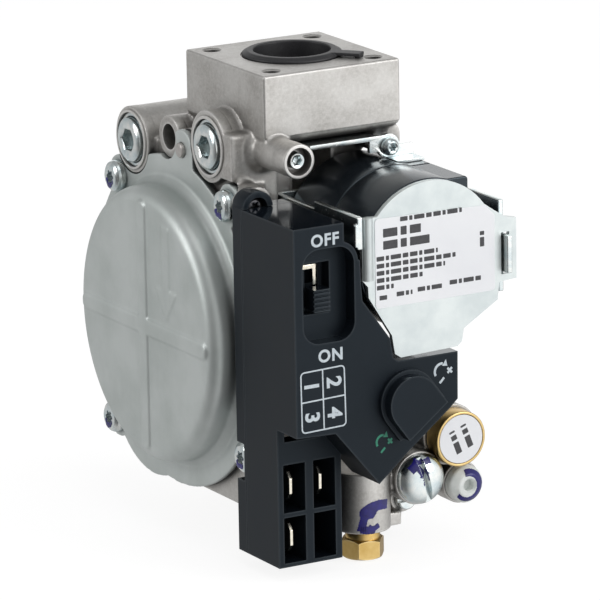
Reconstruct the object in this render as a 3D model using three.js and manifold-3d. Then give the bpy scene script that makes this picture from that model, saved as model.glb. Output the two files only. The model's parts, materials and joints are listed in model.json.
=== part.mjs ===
// Combination gas valve for a furnace: cast body with an inlet flange on top, a pressed
// diaphragm cover on the left, twin solenoid coils in front, a plastic switch and terminal
// housing, and the regulator, pilot and pressure-tap fittings at the bottom.
//
// Millimetres, +Z up. While it is built, x = y = 0 is the axis of the inlet port and z = 0 is
// the flange face. -Y is the front and the diaphragm cover faces -X. The last lines move the
// origin to the middle of the valve's underside.

import * as THREE from "three";
import { mergeVertices } from "three/addons/utils/BufferGeometryUtils.js";
import Module from "manifold-3d";

const wasm = await Module();
wasm.setup();

// ---------------------------------------------------------------- driving dimensions

const GAP = 0.1; // clearance between pieces that meet
const FINE = 32; // segments round a large circle
const ROUND = 20; // segments round a middling circle
const SMALL = 12; // segments round a small circle

const FLANGE = { halfX: 17.1, halfY: 17.4, thick: 16, chamfer: 0.5, holeX: 12.8, holeY: 13.2 };
const BOLT_HOLE = { r: 1.9, deep: 11 };
const PORT = { r: 9.1, hubR: 13.5, bottom: -106.5 };
const SEAL = { boreR: 8.55, footR: 11.1, crownR: 9.9, high: 1.1, sleeve: 3, seatR: 11.4, sunk: 0.25 };
const TAB = { turn: -49, from: 9, to: 16.2, half: 1.8, lugR: 1.7 }; // degrees about the port's axis

const LEFT_FACE = -22.2; // outer face of the plug bosses and of the diaphragm cover's rim
const SHEET = 1.4; // diaphragm cover's steel
const BEAD = 0.7; // diaphragm's clamped edge
const BODY_FACE = LEFT_FACE + SHEET + BEAD; // body face that the diaphragm is clamped on
const SLAB_BACK = -10.5; // back of the round slab behind the diaphragm
const FRONT_CLIP = -17.4; // flat on the front of that slab, behind the switch housing

const DOME = { y: 16.2, z: -61, baseR: 33.1, wallR: 30.9, rimR: 37.6, deep: 7.7, fillet: 3.8 };
const RIB = { half: 28.6, wide: 1.7, high: 0.5 }; // pressed cross on the cover
const DOME_SCREWS = { ul: [40.5, -32.5], ur: [-9.8, -29.4], ll: [44, -89.5], lr: [-17, -84.5] };
const LOBE = { y: 27.5, z: -79.3, r: 20 }; // lower rear swelling of the cover's rim
const EAR_R = 4.8;
const PIN = { y: 11, z: -21, r: 1.7 };
const PLUGS = { left: [34.1, -23, 7.5], right: [-1.2, -17.9, 8] }; // y, z, boss radius
const PLUG = { r: 5.1, proud: 1.3, deep: 8, hexAcross: 4.8 };
const LUG = { y: 18.4, z: -19.5, r: 4.7, holeR: 2.9 };

const LEG = { front: -11.6, top: -13.6, back: -10.5 }; // column left of the coils
const CHEST = { left: -12, right: 15.5, front: -8, back: 39, bottom: -98, top: -15, corner: 6 };
const CHAMBER = { r: 29, back: -12 }; // inlet chamber under the diaphragm
const SEAT = { r: 9, rimR: 11, x: -13.2 };
const DROP = 2; // how far the diaphragm's middle sits behind its edge when shut

const TAP = { x: -14.1, z: -17.4, r: 3.8, boreR: 3.1, end: -27 };
const COIL = { x: 9, z: -38.4, r: 17.2, back: -9.9, seam: -27, front: -41.9 };
const STRAP = {
  x: 12.9,
  z: -18.9,
  headR: 2,
  front: -19.4,
  sheet: 1,
  earR: 2.8,
  footFront: -24,
  bossR: 2.2,
  bossFront: -13,
};
const COIL_BOX = { right: 19.4, top: -22, bottom: -38 };
const CORE = { r: 5, boreR: 4.2, front: -41.6, flangeR: 7.5, seat: -2.4 };
const PLUNGER = { r: 3.95, travel: 2 };
const FRAME = { left: -10.1, right: 28.3, sheet: 1.3, top: -28.4, leftTop: -26.8, hookBack: -26, bottom: -49 };
const PLATE = { front: -43.6, back: -42.4, arcR: 17, x: 8.6, z: -38.3 };

const CASE = { left: -25.8, back: -17.8, seam: -21.7, wall: 1.8, bottom: -105, right: -9.9 };
const COVER = { front: -44.2, top: -27.5, columnRight: -13.3, step: -73.7 };
const HOOD = { x: 1.7, z: -69.1, r: 6.1, reach: 5.7, slope: -53.1 }; // over the adjusters
const TERMINAL = { front: -35.6, deep: 8.4 };
const BLADE = { thick: 0.8, wide: 6.35, tip: -34.2, shoulder: -27.1, end: -23 };
const BLADES = { 1: [-21.8, -87.3], 2: [-14.4, -87.3], 3: [-21.8, -99] }; // x, z
const COVER_SCREW = { x: -22.05, z: -27.5, headR: 2.2, seatR: 2.4, lugR: 3.75, lugFront: -22.6, bossR: 2.6 };
const SWITCH = { x: -17.8, z: -44.5, wide: 4, high: 5, travel: 5, floor: -40.5 };

const REG = { x: 11.4, z: -91, bossR: 6, boreR: 4.6, capR: 5.7, face: -33, slotTurn: -15 };
const GAS = { x: 20.8, z: -83, bossR: 6.9, capR: 6.25, face: -31 };
const OUT_TAP = { x: 23.5, z: -94.4, bossR: 4.7, r: 4.25, face: -31 };
const PILOT_SCREW = { x: 15.6, z: -99.7, bossR: 3.2, r: 2.3, face: -19 };
const PILOT = { x: -0.3, y: -28, across: 8.6, bossR: 6.2, top: -88, end: -101.5, bottom: -108 };

// ---------------------------------------------------------------- materials

function material(color, metalness, roughness) {
  return new THREE.MeshStandardMaterial({ color, metalness, roughness });
}

const CAST = material(0xb4b1ab, 0.9, 0.42);
const PRESSED = material(0xa7aeab, 0.9, 0.38);
const ZINC = material(0xc6cdd0, 1, 0.25);
const STEEL = material(0x9fa1a2, 1, 0.35);
const BRASS = material(0xc79a3f, 1, 0.28);
const COPPER = material(0xb4653a, 1, 0.35);
const NICKEL = material(0xcfc8b8, 1, 0.25);
const BLACK = material(0x24272b, 0, 0.45);
const BLACK_GLOSS = material(0x16181b, 0, 0.25);
const RUBBER = material(0x1b1b1c, 0, 0.8);
const WHITE = material(0xe9e9e6, 0, 0.45);
const PAPER = material(0xf1f1f0, 0, 0.6);

// ---------------------------------------------------------------- solids

const X = new THREE.Vector3(1, 0, 0);
const Y = new THREE.Vector3(0, 1, 0);
const Z = new THREE.Vector3(0, 0, 1);

// A sketch's own x, y and depth, laid along the valve's axes. A sketch across x is drawn in
// (y, z), one across y in (x, z), and one across z in (x, y).
const SKETCH = {
  x: new THREE.Matrix4().makeBasis(Y, Z, X),
  y: new THREE.Matrix4().makeBasis(X, Z, Y.clone().negate()),
  z: new THREE.Matrix4(),
};

// A lathe's own axis is its y.
const LATHE = {
  x: new THREE.Matrix4().makeBasis(Y, X, Z.clone().negate()),
  y: new THREE.Matrix4(),
  z: new THREE.Matrix4().makeBasis(X, Z, Y.clone().negate()),
};

function solid(geometry) {
  const bare = geometry.index ? geometry.toNonIndexed() : geometry.clone();
  bare.deleteAttribute("normal");
  bare.deleteAttribute("uv");
  const merged = mergeVertices(bare, 1e-4);
  const mesh = new wasm.Mesh({
    numProp: 3,
    vertProperties: merged.attributes.position.array,
    triVerts: Uint32Array.from(merged.index.array),
  });
  return new wasm.Manifold(mesh);
}

function geometryOf(manifold) {
  const mesh = manifold.getMesh();
  const geometry = new THREE.BufferGeometry();
  geometry.setAttribute("position", new THREE.BufferAttribute(mesh.vertProperties, 3));
  geometry.setIndex(new THREE.BufferAttribute(mesh.triVerts, 1));
  geometry.computeVertexNormals();
  return geometry;
}

function slab(x0, x1, y0, y1, z0, z1) {
  const box = new THREE.BoxGeometry(x1 - x0, y1 - y0, z1 - z0);
  return solid(box.translate((x0 + x1) / 2, (y0 + y1) / 2, (z0 + z1) / 2));
}

function outline(points) {
  return new THREE.Shape(points.map(([u, v]) => new THREE.Vector2(u, v)));
}

function circle(u, v, r) {
  return new THREE.Shape().absarc(u, v, r, 0, Math.PI * 2);
}

function roundedBox(u0, u1, v0, v1, r) {
  const shape = new THREE.Shape();
  shape.absarc(u1 - r, v0 + r, r, -Math.PI / 2, 0);
  shape.absarc(u1 - r, v1 - r, r, 0, Math.PI / 2);
  shape.absarc(u0 + r, v1 - r, r, Math.PI / 2, Math.PI);
  shape.absarc(u0 + r, v0 + r, r, Math.PI, Math.PI * 1.5);
  return shape;
}

function polygon(u, v, acrossFlats, sides, turn = 0) {
  const r = acrossFlats / 2 / Math.cos(Math.PI / sides);
  const corner = (i) => turn + (i * 2 * Math.PI) / sides;
  const points = Array.from({ length: sides }, (_, i) => [
    u + r * Math.cos(corner(i)),
    v + r * Math.sin(corner(i)),
  ]);
  return outline(points);
}

// A shape drawn across one axis, between two places on it. An arc gets arcSteps segments:
// ExtrudeGeometry doubles curveSegments on an arc.
function prism(axis, shape, from, to, arcSteps = 12) {
  const geometry = new THREE.ExtrudeGeometry(shape, {
    depth: to - from,
    bevelEnabled: false,
    curveSegments: arcSteps / 2,
  });
  geometry.applyMatrix4(SKETCH[axis]);
  const start = { x: [from, 0, 0], y: [0, to, 0], z: [0, 0, from] }[axis];
  return solid(geometry.translate(...start));
}

// A round bar with its axis through (u, v).
function bar(axis, u, v, r, from, to, segments = SMALL) {
  return prism(axis, circle(u, v, r), from, to, segments);
}

function tube(axis, u, v, r, boreR, from, to, segments = SMALL) {
  const bore = bar(axis, u, v, boreR, from - 1, to + 1, segments);
  return bar(axis, u, v, r, from, to, segments).subtract(bore);
}

// A profile of [radius, place on the axis], turned about the axis through (u, v).
function turned(axis, u, v, profile, segments = ROUND) {
  const points = profile.map(([r, h]) => new THREE.Vector2(r, h));
  const geometry = new THREE.LatheGeometry(points, segments);
  geometry.applyMatrix4(LATHE[axis]);
  const centre = { x: [0, u, v], y: [u, 0, v], z: [u, v, 0] }[axis];
  return solid(geometry.translate(...centre));
}

class Helix extends THREE.Curve {
  constructor(axis, u, v, r, from, to, turns) {
    super();
    Object.assign(this, { axis, u, v, r, from, to, turns });
  }

  getPoint(t, target = new THREE.Vector3()) {
    const angle = t * this.turns * Math.PI * 2;
    const along = this.from + (this.to - this.from) * t;
    const u = this.u + this.r * Math.cos(angle);
    const v = this.v + this.r * Math.sin(angle);
    const place = { x: [along, u, v], y: [u, along, v], z: [u, v, along] }[this.axis];
    return target.set(...place);
  }
}

// A coil spring; from and to are the ends of the wire's centre line.
function spring(axis, u, v, r, wireR, from, to, turns) {
  const wire = polygon(0, 0, wireR * 2 * Math.cos(Math.PI / 4), 4);
  return solid(
    new THREE.ExtrudeGeometry(wire, {
      extrudePath: new Helix(axis, u, v, r, from, to, turns),
      steps: Math.round(turns * 8),
      bevelEnabled: false,
    }),
  );
}

// The same outline, moved inwards by the wall. The points run anticlockwise.
function inset(points, wall) {
  const count = points.length;
  return points.map((point, i) => {
    const before = new THREE.Vector2(...points[(i + count - 1) % count]);
    const here = new THREE.Vector2(...point);
    const after = new THREE.Vector2(...points[(i + 1) % count]);
    const a = here.clone().sub(before).normalize();
    const b = after.clone().sub(here).normalize();
    const normal = new THREE.Vector2(-a.y - b.y, a.x + b.x).normalize();
    const reach = wall / Math.max(0.35, normal.dot(new THREE.Vector2(-a.y, a.x)));
    return here.addScaledVector(normal, reach).toArray();
  });
}

function join(first, ...others) {
  return others.reduce((whole, piece) => whole.add(piece), first);
}

function cut(first, ...others) {
  return others.reduce((whole, piece) => whole.subtract(piece), first);
}

function mesh(name, manifold, look, parent) {
  const piece = new THREE.Mesh(geometryOf(manifold), look);
  piece.name = name;
  parent.add(piece);
  return piece;
}

// ---------------------------------------------------------------- valve body

function flangeBlock() {
  const { halfX, halfY, thick, chamfer } = FLANGE;
  const layer = (less, from, to) =>
    slab(-halfX + less, halfX - less, -halfY + less, halfY - less, from, to);
  const soft = 1.8; // lower edge, stepped in twice
  return join(
    layer(0, -thick + soft, -chamfer),
    layer(chamfer, -chamfer - 0.01, 0),
    layer(soft * 0.3, -thick + soft * 0.4, -thick + soft + 0.01),
    layer(soft, -thick, -thick + soft * 0.4 + 0.01),
  );
}

function leftCasting() {
  const { y, z, rimR } = DOME;
  const [leftY, leftZ, leftR] = PLUGS.left;
  const [rightY, rightZ, rightR] = PLUGS.right;
  const ears = Object.values(DOME_SCREWS).map(([u, v]) =>
    bar("x", u, v, EAR_R, BODY_FACE, SLAB_BACK - 4, ROUND),
  );
  const lobe = bar("x", LOBE.y, LOBE.z, LOBE.r, BODY_FACE, SLAB_BACK, FINE);
  const round = join(bar("x", y, z, rimR, BODY_FACE, SLAB_BACK, FINE), lobe, ...ears);
  const keep = slab(-60, 60, FRONT_CLIP, 80, -120, 0);
  const earFront = bar("x", ...DOME_SCREWS.lr, EAR_R, BODY_FACE, SLAB_BACK - 4, ROUND);
  return join(
    round.intersect(keep),
    earFront,
    bar("x", PIN.y, PIN.z, 4.6, BODY_FACE, SLAB_BACK, ROUND),
    bar("x", leftY, leftZ, leftR, LEFT_FACE, 6, ROUND),
    bar("x", rightY, rightZ, rightR, LEFT_FACE, -6, ROUND),
    bar("x", LUG.y, LUG.z, LUG.r, LEFT_FACE + 1, -4, ROUND),
    slab(BODY_FACE, -6, 2, 34, -40, -21.5),
    slab(LEFT_FACE, LEG.back, LEG.front, 2, -24, LEG.top),
    slab(BODY_FACE, LEG.back, LEG.front, 2, -45, LEG.top),
    slab(BODY_FACE, -6, CHEST.front, 2, -45, LEG.top),
    slab(BODY_FACE, SLAB_BACK, -14, 15, -98.2, -80),
  );
}

function chest() {
  const { left, right, front, back, bottom, top, corner } = CHEST;
  const side = roundedBox(front, back, bottom, top - 9, corner);
  const neck = roundedBox(CHEST.front, 17.2, -40, -14, 2);
  return join(
    prism("x", side, left, right, 6),
    prism("x", neck, -16, 13, 4),
    bar("x", DOME.y, DOME.z, 20, right - 1, right + 2.2, FINE),
    slab(right - 1, right + 1.4, front + 8, back - 8, DOME.z - 1.5, DOME.z + 1.5),
    slab(right - 1, right + 1.4, DOME.y - 1.5, DOME.y + 1.5, bottom + 8, top - 14),
  );
}

function frontBosses() {
  const deep = 4; // how far the bosses run into the chest
  const boss = (fitting) =>
    bar("y", fitting.x, fitting.z, fitting.bossR, fitting.face, CHEST.front + deep, ROUND);
  const square = outline([
    [8.5, -20],
    [14.7, -20],
    [14.7, -4],
    [8.5, -4],
  ]);
  return join(
    boss(REG),
    boss(GAS),
    boss(OUT_TAP),
    boss(PILOT_SCREW),
    prism("y", roundedBox(-2, 28, -99.5, -76, 4), -17, 10, 4),
    bar("z", PILOT.x, PILOT.y, PILOT.bossR, PILOT.end, PILOT.top, ROUND),
    slab(PILOT.x - 4.6, PILOT.x + 4.6, PILOT.y, CHEST.front + 2, -100.6, PILOT.top),
    prism("z", square, -105.5, -102.3),
    prism("z", square, -102.4, -92).intersect(slab(0, 30, -18, 0, -110, -80)),
    bar("z", 0, 0, PORT.hubR, PORT.bottom, CHEST.bottom + 6, FINE),
    turned("y", TAP.x, TAP.z, [
      [0, TAP.end],
      [TAP.r, TAP.end],
      [TAP.r, -13.5],
      [TAP.r + 1.1, -12],
      [TAP.r + 1.1, -6],
      [0, -6],
    ]),
    bar("y", STRAP.x, STRAP.z, STRAP.bossR, STRAP.bossFront, CHEST.front + deep, SMALL),
    slab(
      STRAP.x - STRAP.bossR,
      STRAP.x + STRAP.bossR,
      STRAP.bossFront,
      CHEST.front + deep,
      STRAP.z,
      1 - FLANGE.thick,
    ),
    bar("y", COVER_SCREW.x, COVER_SCREW.z, COVER_SCREW.bossR, CASE.back + GAP, -15.2, ROUND),
    bar("y", COVER_SCREW.x + 2.8, COVER_SCREW.z, 3.4, CASE.back + GAP, -10, ROUND),
    slab(-19, -14, CASE.back + GAP, -10, -74, -66),
    bar("y", COIL.x, COIL.z, 9.4, CHEST.front - GAP, 0, ROUND),
  );
}

function gasWays() {
  const { y, z } = DOME;
  return join(
    bar("z", 0, 0, PORT.r, -40, 1, FINE),
    bar("z", 0, 0, SEAL.seatR, -SEAL.sunk, 1, FINE),
    bar("x", y, z, CHAMBER.r, BODY_FACE - 1, CHAMBER.back, FINE),
    slab(-13, 1, -6, 9, -50, -24),
    bar("x", y, z, SEAT.r, SEAT.x - 4, 8, ROUND),
    prism("x", roundedBox(-6, 24, -94, -54, 5), -3, 11, 4),
    bar("z", 0, 0, PORT.r, PORT.bottom - 1, -86, FINE),
    bar("y", COIL.x, COIL.z, CORE.flangeR + 0.2, CHEST.front - 1, -6.4, ROUND),
    bar("y", COIL.x, COIL.z, CORE.r + 0.3, CHEST.front - 1, CORE.seat, SMALL),
    bar("y", COIL.x - 3, COIL.z, 1.2, CORE.seat - 1, 2, SMALL),
  );
}

function fittingBores() {
  const screws = Object.values(DOME_SCREWS).map(([u, v]) =>
    bar("x", u, v, 1.9, BODY_FACE - 1, -13, SMALL),
  );
  const plugs = Object.values(PLUGS).map(([u, v]) =>
    join(
      bar("x", u, v, PLUG.r + 0.1, LEFT_FACE - 1, LEFT_FACE + PLUG.deep, ROUND),
      bar("x", u, v, PLUG.r + 1.1, LEFT_FACE - 1, LEFT_FACE + 1, ROUND),
    ),
  );
  const bolts = [-1, 1].flatMap((sx) =>
    [-1, 1].map((sy) =>
      bar("z", sx * FLANGE.holeX, sy * FLANGE.holeY, BOLT_HOLE.r, -BOLT_HOLE.deep, 1, SMALL),
    ),
  );
  const gland = PILOT.end + 9.5;
  return join(
    ...screws,
    ...plugs,
    ...bolts,
    bar("x", LUG.y, LUG.z, LUG.holeR, LEFT_FACE - 1, -9, SMALL),
    bar("x", PIN.y, PIN.z, PIN.r + 0.05, BODY_FACE - 1, BODY_FACE + 5, SMALL),
    bar("y", TAP.x, TAP.z, TAP.boreR, TAP.end - 1, TAP.end + 3, SMALL),
    bar("y", TAP.x, TAP.z, 1.9, TAP.end, TAP.end + 14, SMALL),
    bar("y", REG.x, REG.z, REG.boreR, REG.face - 1, -14, ROUND),
    bar("y", GAS.x, GAS.z, 4.2, GAS.face - 1, -22, ROUND),
    bar("y", OUT_TAP.x, OUT_TAP.z, 2.7, OUT_TAP.face - 1, -22, SMALL),
    bar("y", PILOT_SCREW.x, PILOT_SCREW.z, 1.5, PILOT_SCREW.face - 1, -12, SMALL),
    bar("z", PILOT.x, PILOT.y, 3.8, PILOT.end - 1, gland, SMALL),
    bar("z", PILOT.x, PILOT.y, 1.6, gland - 1, gland + 3, SMALL),
    bar("y", COVER_SCREW.x, COVER_SCREW.z, 1.5, CASE.back - 1, -15.5, SMALL),
    bar("y", STRAP.x, STRAP.z, 1.5, -18, -4, SMALL),
  );
}

function valveBody() {
  const seatRim = tube("x", DOME.y, DOME.z, SEAT.rimR, SEAT.r, SEAT.x, CHAMBER.back + 1, ROUND);
  const strapEar = prism("y", roundedBox(11.5, 18.5, -21.2, -15, 2), -15, 0, 4);
  const casting = join(flangeBlock(), leftCasting(), chest(), frontBosses(), strapEar);
  const earRoom = bar("x", ...DOME_SCREWS.ur, EAR_R + 0.3, LEFT_FACE - 5, BODY_FACE, ROUND);
  return cut(casting, earRoom, gasWays(), fittingBores()).add(seatRim);
}

// ---------------------------------------------------------------- inlet

function inletSealRing() {
  const { boreR, footR, crownR, high, sleeve, sunk } = SEAL;
  const { turn, from, to, half, lugR } = TAB;
  const sleeveR = PORT.r - GAP;
  const seat = GAP - sunk;
  const foot = high * 0.45;
  const ring = turned(
    "z",
    0,
    0,
    [
      [boreR, -sleeve],
      [sleeveR, -sleeve],
      [sleeveR, seat],
      [footR, seat],
      [footR, foot],
      [crownR, high],
      [boreR, high],
      [boreR, -sleeve],
    ],
    FINE,
  );
  const strip = slab(from, to, -half, half, foot, high);
  const lug = bar("x", 0, high, lugR, to - 1, to, SMALL).intersect(slab(from, to, -half, half, GAP, high));
  return ring.add(strip.add(lug).rotate([0, 0, turn]));
}

function inletScreen() {
  const disc = bar("z", 0, 0, PORT.r - 0.15, -13, -12.4, ROUND);
  const pitch = 3.7;
  const steps = [-1.5, -0.5, 0.5, 1.5];
  const holes = steps.flatMap((i) =>
    steps
      .filter((j) => Math.hypot(i, j) < 2)
      .map((j) => prism("z", polygon(i * pitch, j * pitch, 2.6, 4, Math.PI / 4), -14, -11)),
  );
  return cut(disc, ...holes);
}

// ---------------------------------------------------------------- diaphragm side

function rimOutline(face, back) {
  const { y, z, rimR } = DOME;
  const ears = Object.values(DOME_SCREWS).map(([u, v]) => bar("x", u, v, EAR_R, face, back, SMALL));
  const keep = slab(-60, 60, FRONT_CLIP, 80, -120, 0);
  const lower = bar("x", ...DOME_SCREWS.lr, EAR_R, face, back, SMALL);
  return join(
    bar("x", y, z, rimR, face, back, FINE),
    bar("x", LOBE.y, LOBE.z, LOBE.r, face, back, FINE),
    bar("x", PIN.y, PIN.z, 4.6, face, back, SMALL),
    slab(face, back, PIN.y - 4.6, PIN.y + 4.6, PIN.z - 8, PIN.z),
    ...ears,
  )
    .intersect(keep)
    .add(lower);
}

function aroundPlugs(from, to) {
  return join(
    ...Object.values(PLUGS).map(([u, v, r]) => bar("x", u, v, r + 0.3, from, to, ROUND)),
    bar("x", LUG.y, LUG.z, LUG.r + 0.2, from, to, SMALL),
  );
}

function rimHoles(from, to) {
  const holes = Object.values(DOME_SCREWS).map(([u, v]) => bar("x", u, v, 2.1, from, to, SMALL));
  return join(...holes, bar("x", PIN.y, PIN.z, PIN.r + 0.1, from, to, SMALL));
}

function diaphragmCover() {
  const { y, z, baseR, wallR, deep, fillet } = DOME;
  const front = LEFT_FACE - deep;
  const edge = (r, x, radius) =>
    [0, 1, 2, 3].map((i) => {
      const angle = (i / 3) * (Math.PI / 2);
      return [r - radius + radius * Math.sin(angle), x + radius - radius * Math.cos(angle)];
    });
  const pressing = (sheet) =>
    turned(
      "x",
      y,
      z,
      [
        [0, front + sheet],
        ...edge(wallR - sheet, front + sheet, fillet - sheet),
        [wallR + 0.5 - sheet, LEFT_FACE - 1.4],
        [baseR - sheet, LEFT_FACE + 0.2],
        [baseR - sheet, LEFT_FACE + 0.2 + sheet * 2],
        [0, LEFT_FACE + 0.2 + sheet * 2],
      ],
      FINE,
    );
  const rib = (halfY, halfZ) => {
    const plan = roundedBox(y - halfY, y + halfY, z - halfZ, z + halfZ, RIB.wide * 0.7);
    return prism("x", plan, front - RIB.high, front + 1, 4);
  };
  const rim = cut(
    rimOutline(LEFT_FACE, BODY_FACE - BEAD),
    aroundPlugs(LEFT_FACE - 1, BODY_FACE),
    rimHoles(LEFT_FACE - 1, BODY_FACE),
  );
  const ribs = rib(RIB.wide, RIB.half).add(rib(RIB.half, RIB.wide));
  return join(rim, pressing(0), ribs).subtract(pressing(SHEET));
}

function mainDiaphragm() {
  const { y, z } = DOME;
  const edge = cut(
    rimOutline(BODY_FACE - BEAD + 0.02, BODY_FACE - 0.02),
    aroundPlugs(LEFT_FACE - 1, BODY_FACE + 1),
    rimHoles(LEFT_FACE - 1, BODY_FACE + 1),
    bar("x", y, z, 27.5, LEFT_FACE - 1, BODY_FACE + 1, ROUND),
  );
  const thick = 0.7;
  const start = BODY_FACE - BEAD + 0.02;
  const floor = start + DROP;
  const sheet = turned("x", y, z, [
    [0, floor],
    [20, floor],
    [22, floor + 1.2],
    [25, floor + 1.2],
    [27, start],
    [28, start],
    [28, start + thick],
    [27.6, start + thick],
    [25.6, floor + 1.2 + thick],
    [21.6, floor + 1.2 + thick],
    [19.6, floor + thick],
    [0, floor + thick],
  ]);
  return edge.add(sheet);
}

// Plates either side of the diaphragm, the stem and the rubber valve disc.
function mainValve(parent) {
  const { y, z } = DOME;
  const floor = BODY_FACE - BEAD + 0.02 + DROP;
  const outer = turned("x", y, z, [
    [0, floor - 1.1],
    [16, floor - 1.1],
    [18.6, floor - GAP],
    [0, floor - GAP],
  ]);
  const stem = turned("x", y, z, [
    [0, floor + 0.8],
    [12, floor + 0.8],
    [12, floor + 1.8],
    [3, floor + 1.8],
    [3, SEAT.x - 1.6],
    [0, SEAT.x - 1.6],
  ]);
  const disc = turned("x", y, z, [
    [0, SEAT.x - 1.5],
    [SEAT.rimR + 0.8, SEAT.x - 1.5],
    [SEAT.rimR + 0.8, SEAT.x - GAP],
    [0, SEAT.x - GAP],
  ]);
  const springBack = floor - 1.1 - GAP - 0.5;
  const springFront = LEFT_FACE - DOME.deep + SHEET + 0.6;
  mesh("diaphragm_plate", outer, ZINC, parent);
  mesh("valve_stem", stem, ZINC, parent);
  mesh("main_valve_disc", disc, RUBBER, parent);
  mesh("main_spring", spring("x", y, z, 8, 0.45, springFront, springBack, 3.5), STEEL, parent);
}

// Six-lobed pan-head screw, its head pointing to -X.
function coverScrew() {
  const lobes = [0, 1, 2].map((i) => {
    const turn = (i * Math.PI) / 3;
    return prism("x", polygon(0, 0, 2.1, 3, turn), -2.6, -1, 4).add(
      prism("x", polygon(0, 0, 2.1, 3, turn + Math.PI), -2.6, -1, 4),
    );
  });
  const screw = turned("x", 0, 0, [
    [0, -2.5],
    [2.4, -2.4],
    [3.2, -1.9],
    [3.6, -1.1],
    [3.6, 0],
    [1.7, 0],
    [1.7, 8],
    [0, 8],
  ]);
  return cut(screw, ...lobes);
}

function pipePlug() {
  const body = turned("x", 0, 0, [
    [0, -PLUG.proud],
    [PLUG.r - 0.6, -PLUG.proud],
    [PLUG.r, -PLUG.proud + 0.5],
    [PLUG.r, PLUG.deep - 1.5],
    [0, PLUG.deep - 1.5],
  ]);
  return body.subtract(prism("x", polygon(0, 0, PLUG.hexAcross, 6), -PLUG.proud - 1, 3));
}

function plugWasher() {
  return tube("x", 0, 0, PLUG.r + 1, PLUG.r + GAP, 0.2, 0.9, ROUND);
}

// ---------------------------------------------------------------- coils

function coilShell(from, to) {
  const { x, z, r } = COIL;
  const outer = join(
    bar("y", x, z, r, from, to, FINE),
    prism("y", roundedBox(x, COIL_BOX.right, COIL_BOX.bottom, COIL_BOX.top, 0.8), from, to, 3),
  );
  const pocket = tube("y", x, z, r - 1.9, 6.7, from + 1.6, to + 2, ROUND);
  return cut(outer, pocket.intersect(slab(-60, 60, from, to + 1, -90, 0)), coreHole());
}

function coreHole() {
  return bar("y", COIL.x, COIL.z, CORE.r + GAP, COIL.front - 3, 0, ROUND);
}

function winding(from, to) {
  return tube("y", COIL.x, COIL.z, COIL.r - 2.2, 7, from, to, ROUND);
}

function coreTube() {
  return turned("y", COIL.x, COIL.z, [
    [0, CORE.front],
    [CORE.r, CORE.front],
    [CORE.r, CHEST.front + GAP],
    [CORE.flangeR, CHEST.front + GAP],
    [CORE.flangeR, -6.6],
    [CORE.boreR, -6.6],
    [CORE.boreR, CORE.front + 1],
    [0, CORE.front + 1],
  ]);
}

function plungers(parent) {
  const { x, z } = COIL;
  const poleBack = -34;
  const main = { front: poleBack + PLUNGER.travel + 0.3, back: -25.5 };
  const ring = { front: -23, back: -19.5 };
  const pilot = { front: ring.back + PLUNGER.travel + 0.3, back: -4.5 };
  const rodR = 1.1;
  const boreR = 1.6;
  const pole = bar("y", x, z, CORE.boreR - 0.05, CORE.front + 1.1, poleBack, SMALL);
  const mainBody = join(
    bar("y", x, z, PLUNGER.r, main.front, main.back, SMALL),
    bar("y", x, z, rodR, main.back - 0.1, CORE.seat - 1.6, SMALL),
  ).subtract(bar("y", x, z, 2.7, main.front - 1, main.front + 3, SMALL));
  const pilotBody = cut(
    tube("y", x, z, PLUNGER.r, boreR, pilot.front, pilot.back, SMALL),
    bar("y", x, z, 3.1, pilot.front - 1, pilot.front + 4, SMALL),
  );
  const midPole = tube("y", x, z, CORE.boreR - 0.05, boreR, ring.front, ring.back, SMALL);
  const tip = bar("y", x, z, 1.3, CORE.seat - 1.5, CORE.seat - GAP, SMALL);
  const seat = tube("y", x, z, 3.5, boreR, pilot.back + GAP, CORE.seat - GAP, SMALL);
  const mainEnds = [poleBack + 0.5, main.front + 2.4];
  const pilotEnds = [ring.back + 0.5, pilot.front + 3.4];
  mesh("pole_piece", pole, STEEL, parent);
  mesh("middle_pole_ring", midPole, STEEL, parent);
  mesh("main_plunger", mainBody, STEEL, parent);
  mesh("main_plunger_tip", tip, RUBBER, parent);
  mesh("pilot_plunger", pilotBody, STEEL, parent);
  mesh("pilot_seat_ring", seat, RUBBER, parent);
  mesh("main_plunger_spring", spring("y", x, z, 2.1, 0.3, ...mainEnds, 4), STEEL, parent);
  mesh("pilot_plunger_spring", spring("y", x, z, 2.4, 0.3, ...pilotEnds, 4), STEEL, parent);
}

// A U-shaped magnet frame: back plate, two arms, a bent tongue on each arm.
function coilFrame() {
  const { left, right, sheet, top, leftTop, hookBack, bottom } = FRAME;
  const armFront = -41.9;
  const besideCover = -31.9; // the left arm's lower part stops behind the switch cover
  const back = prism("y", roundedBox(left, right, bottom, top, 1), -9.6, -8.25, 4);
  const arm = (x, front, upTo) => slab(x, x + sheet, front, -8.25, bottom, upTo);
  const tongue = slab(right - sheet, right, -45.6, armFront + 1, -44.2, -35.8);
  const hook = join(
    slab(left, left + sheet, -44.6, hookBack, -30.4, leftTop),
    slab(left, left + sheet, -44.6, besideCover + 1, -34, top),
    slab(left - 0.6, left + 0.8, -44.6, -43.6, -33.4, top),
  );
  return cut(
    join(back, arm(left, besideCover, top), arm(right - sheet, armFront, top), tongue, hook),
    bar("y", COIL.x, COIL.z, CORE.r + GAP, -12, 0, ROUND),
  );
}

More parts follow.
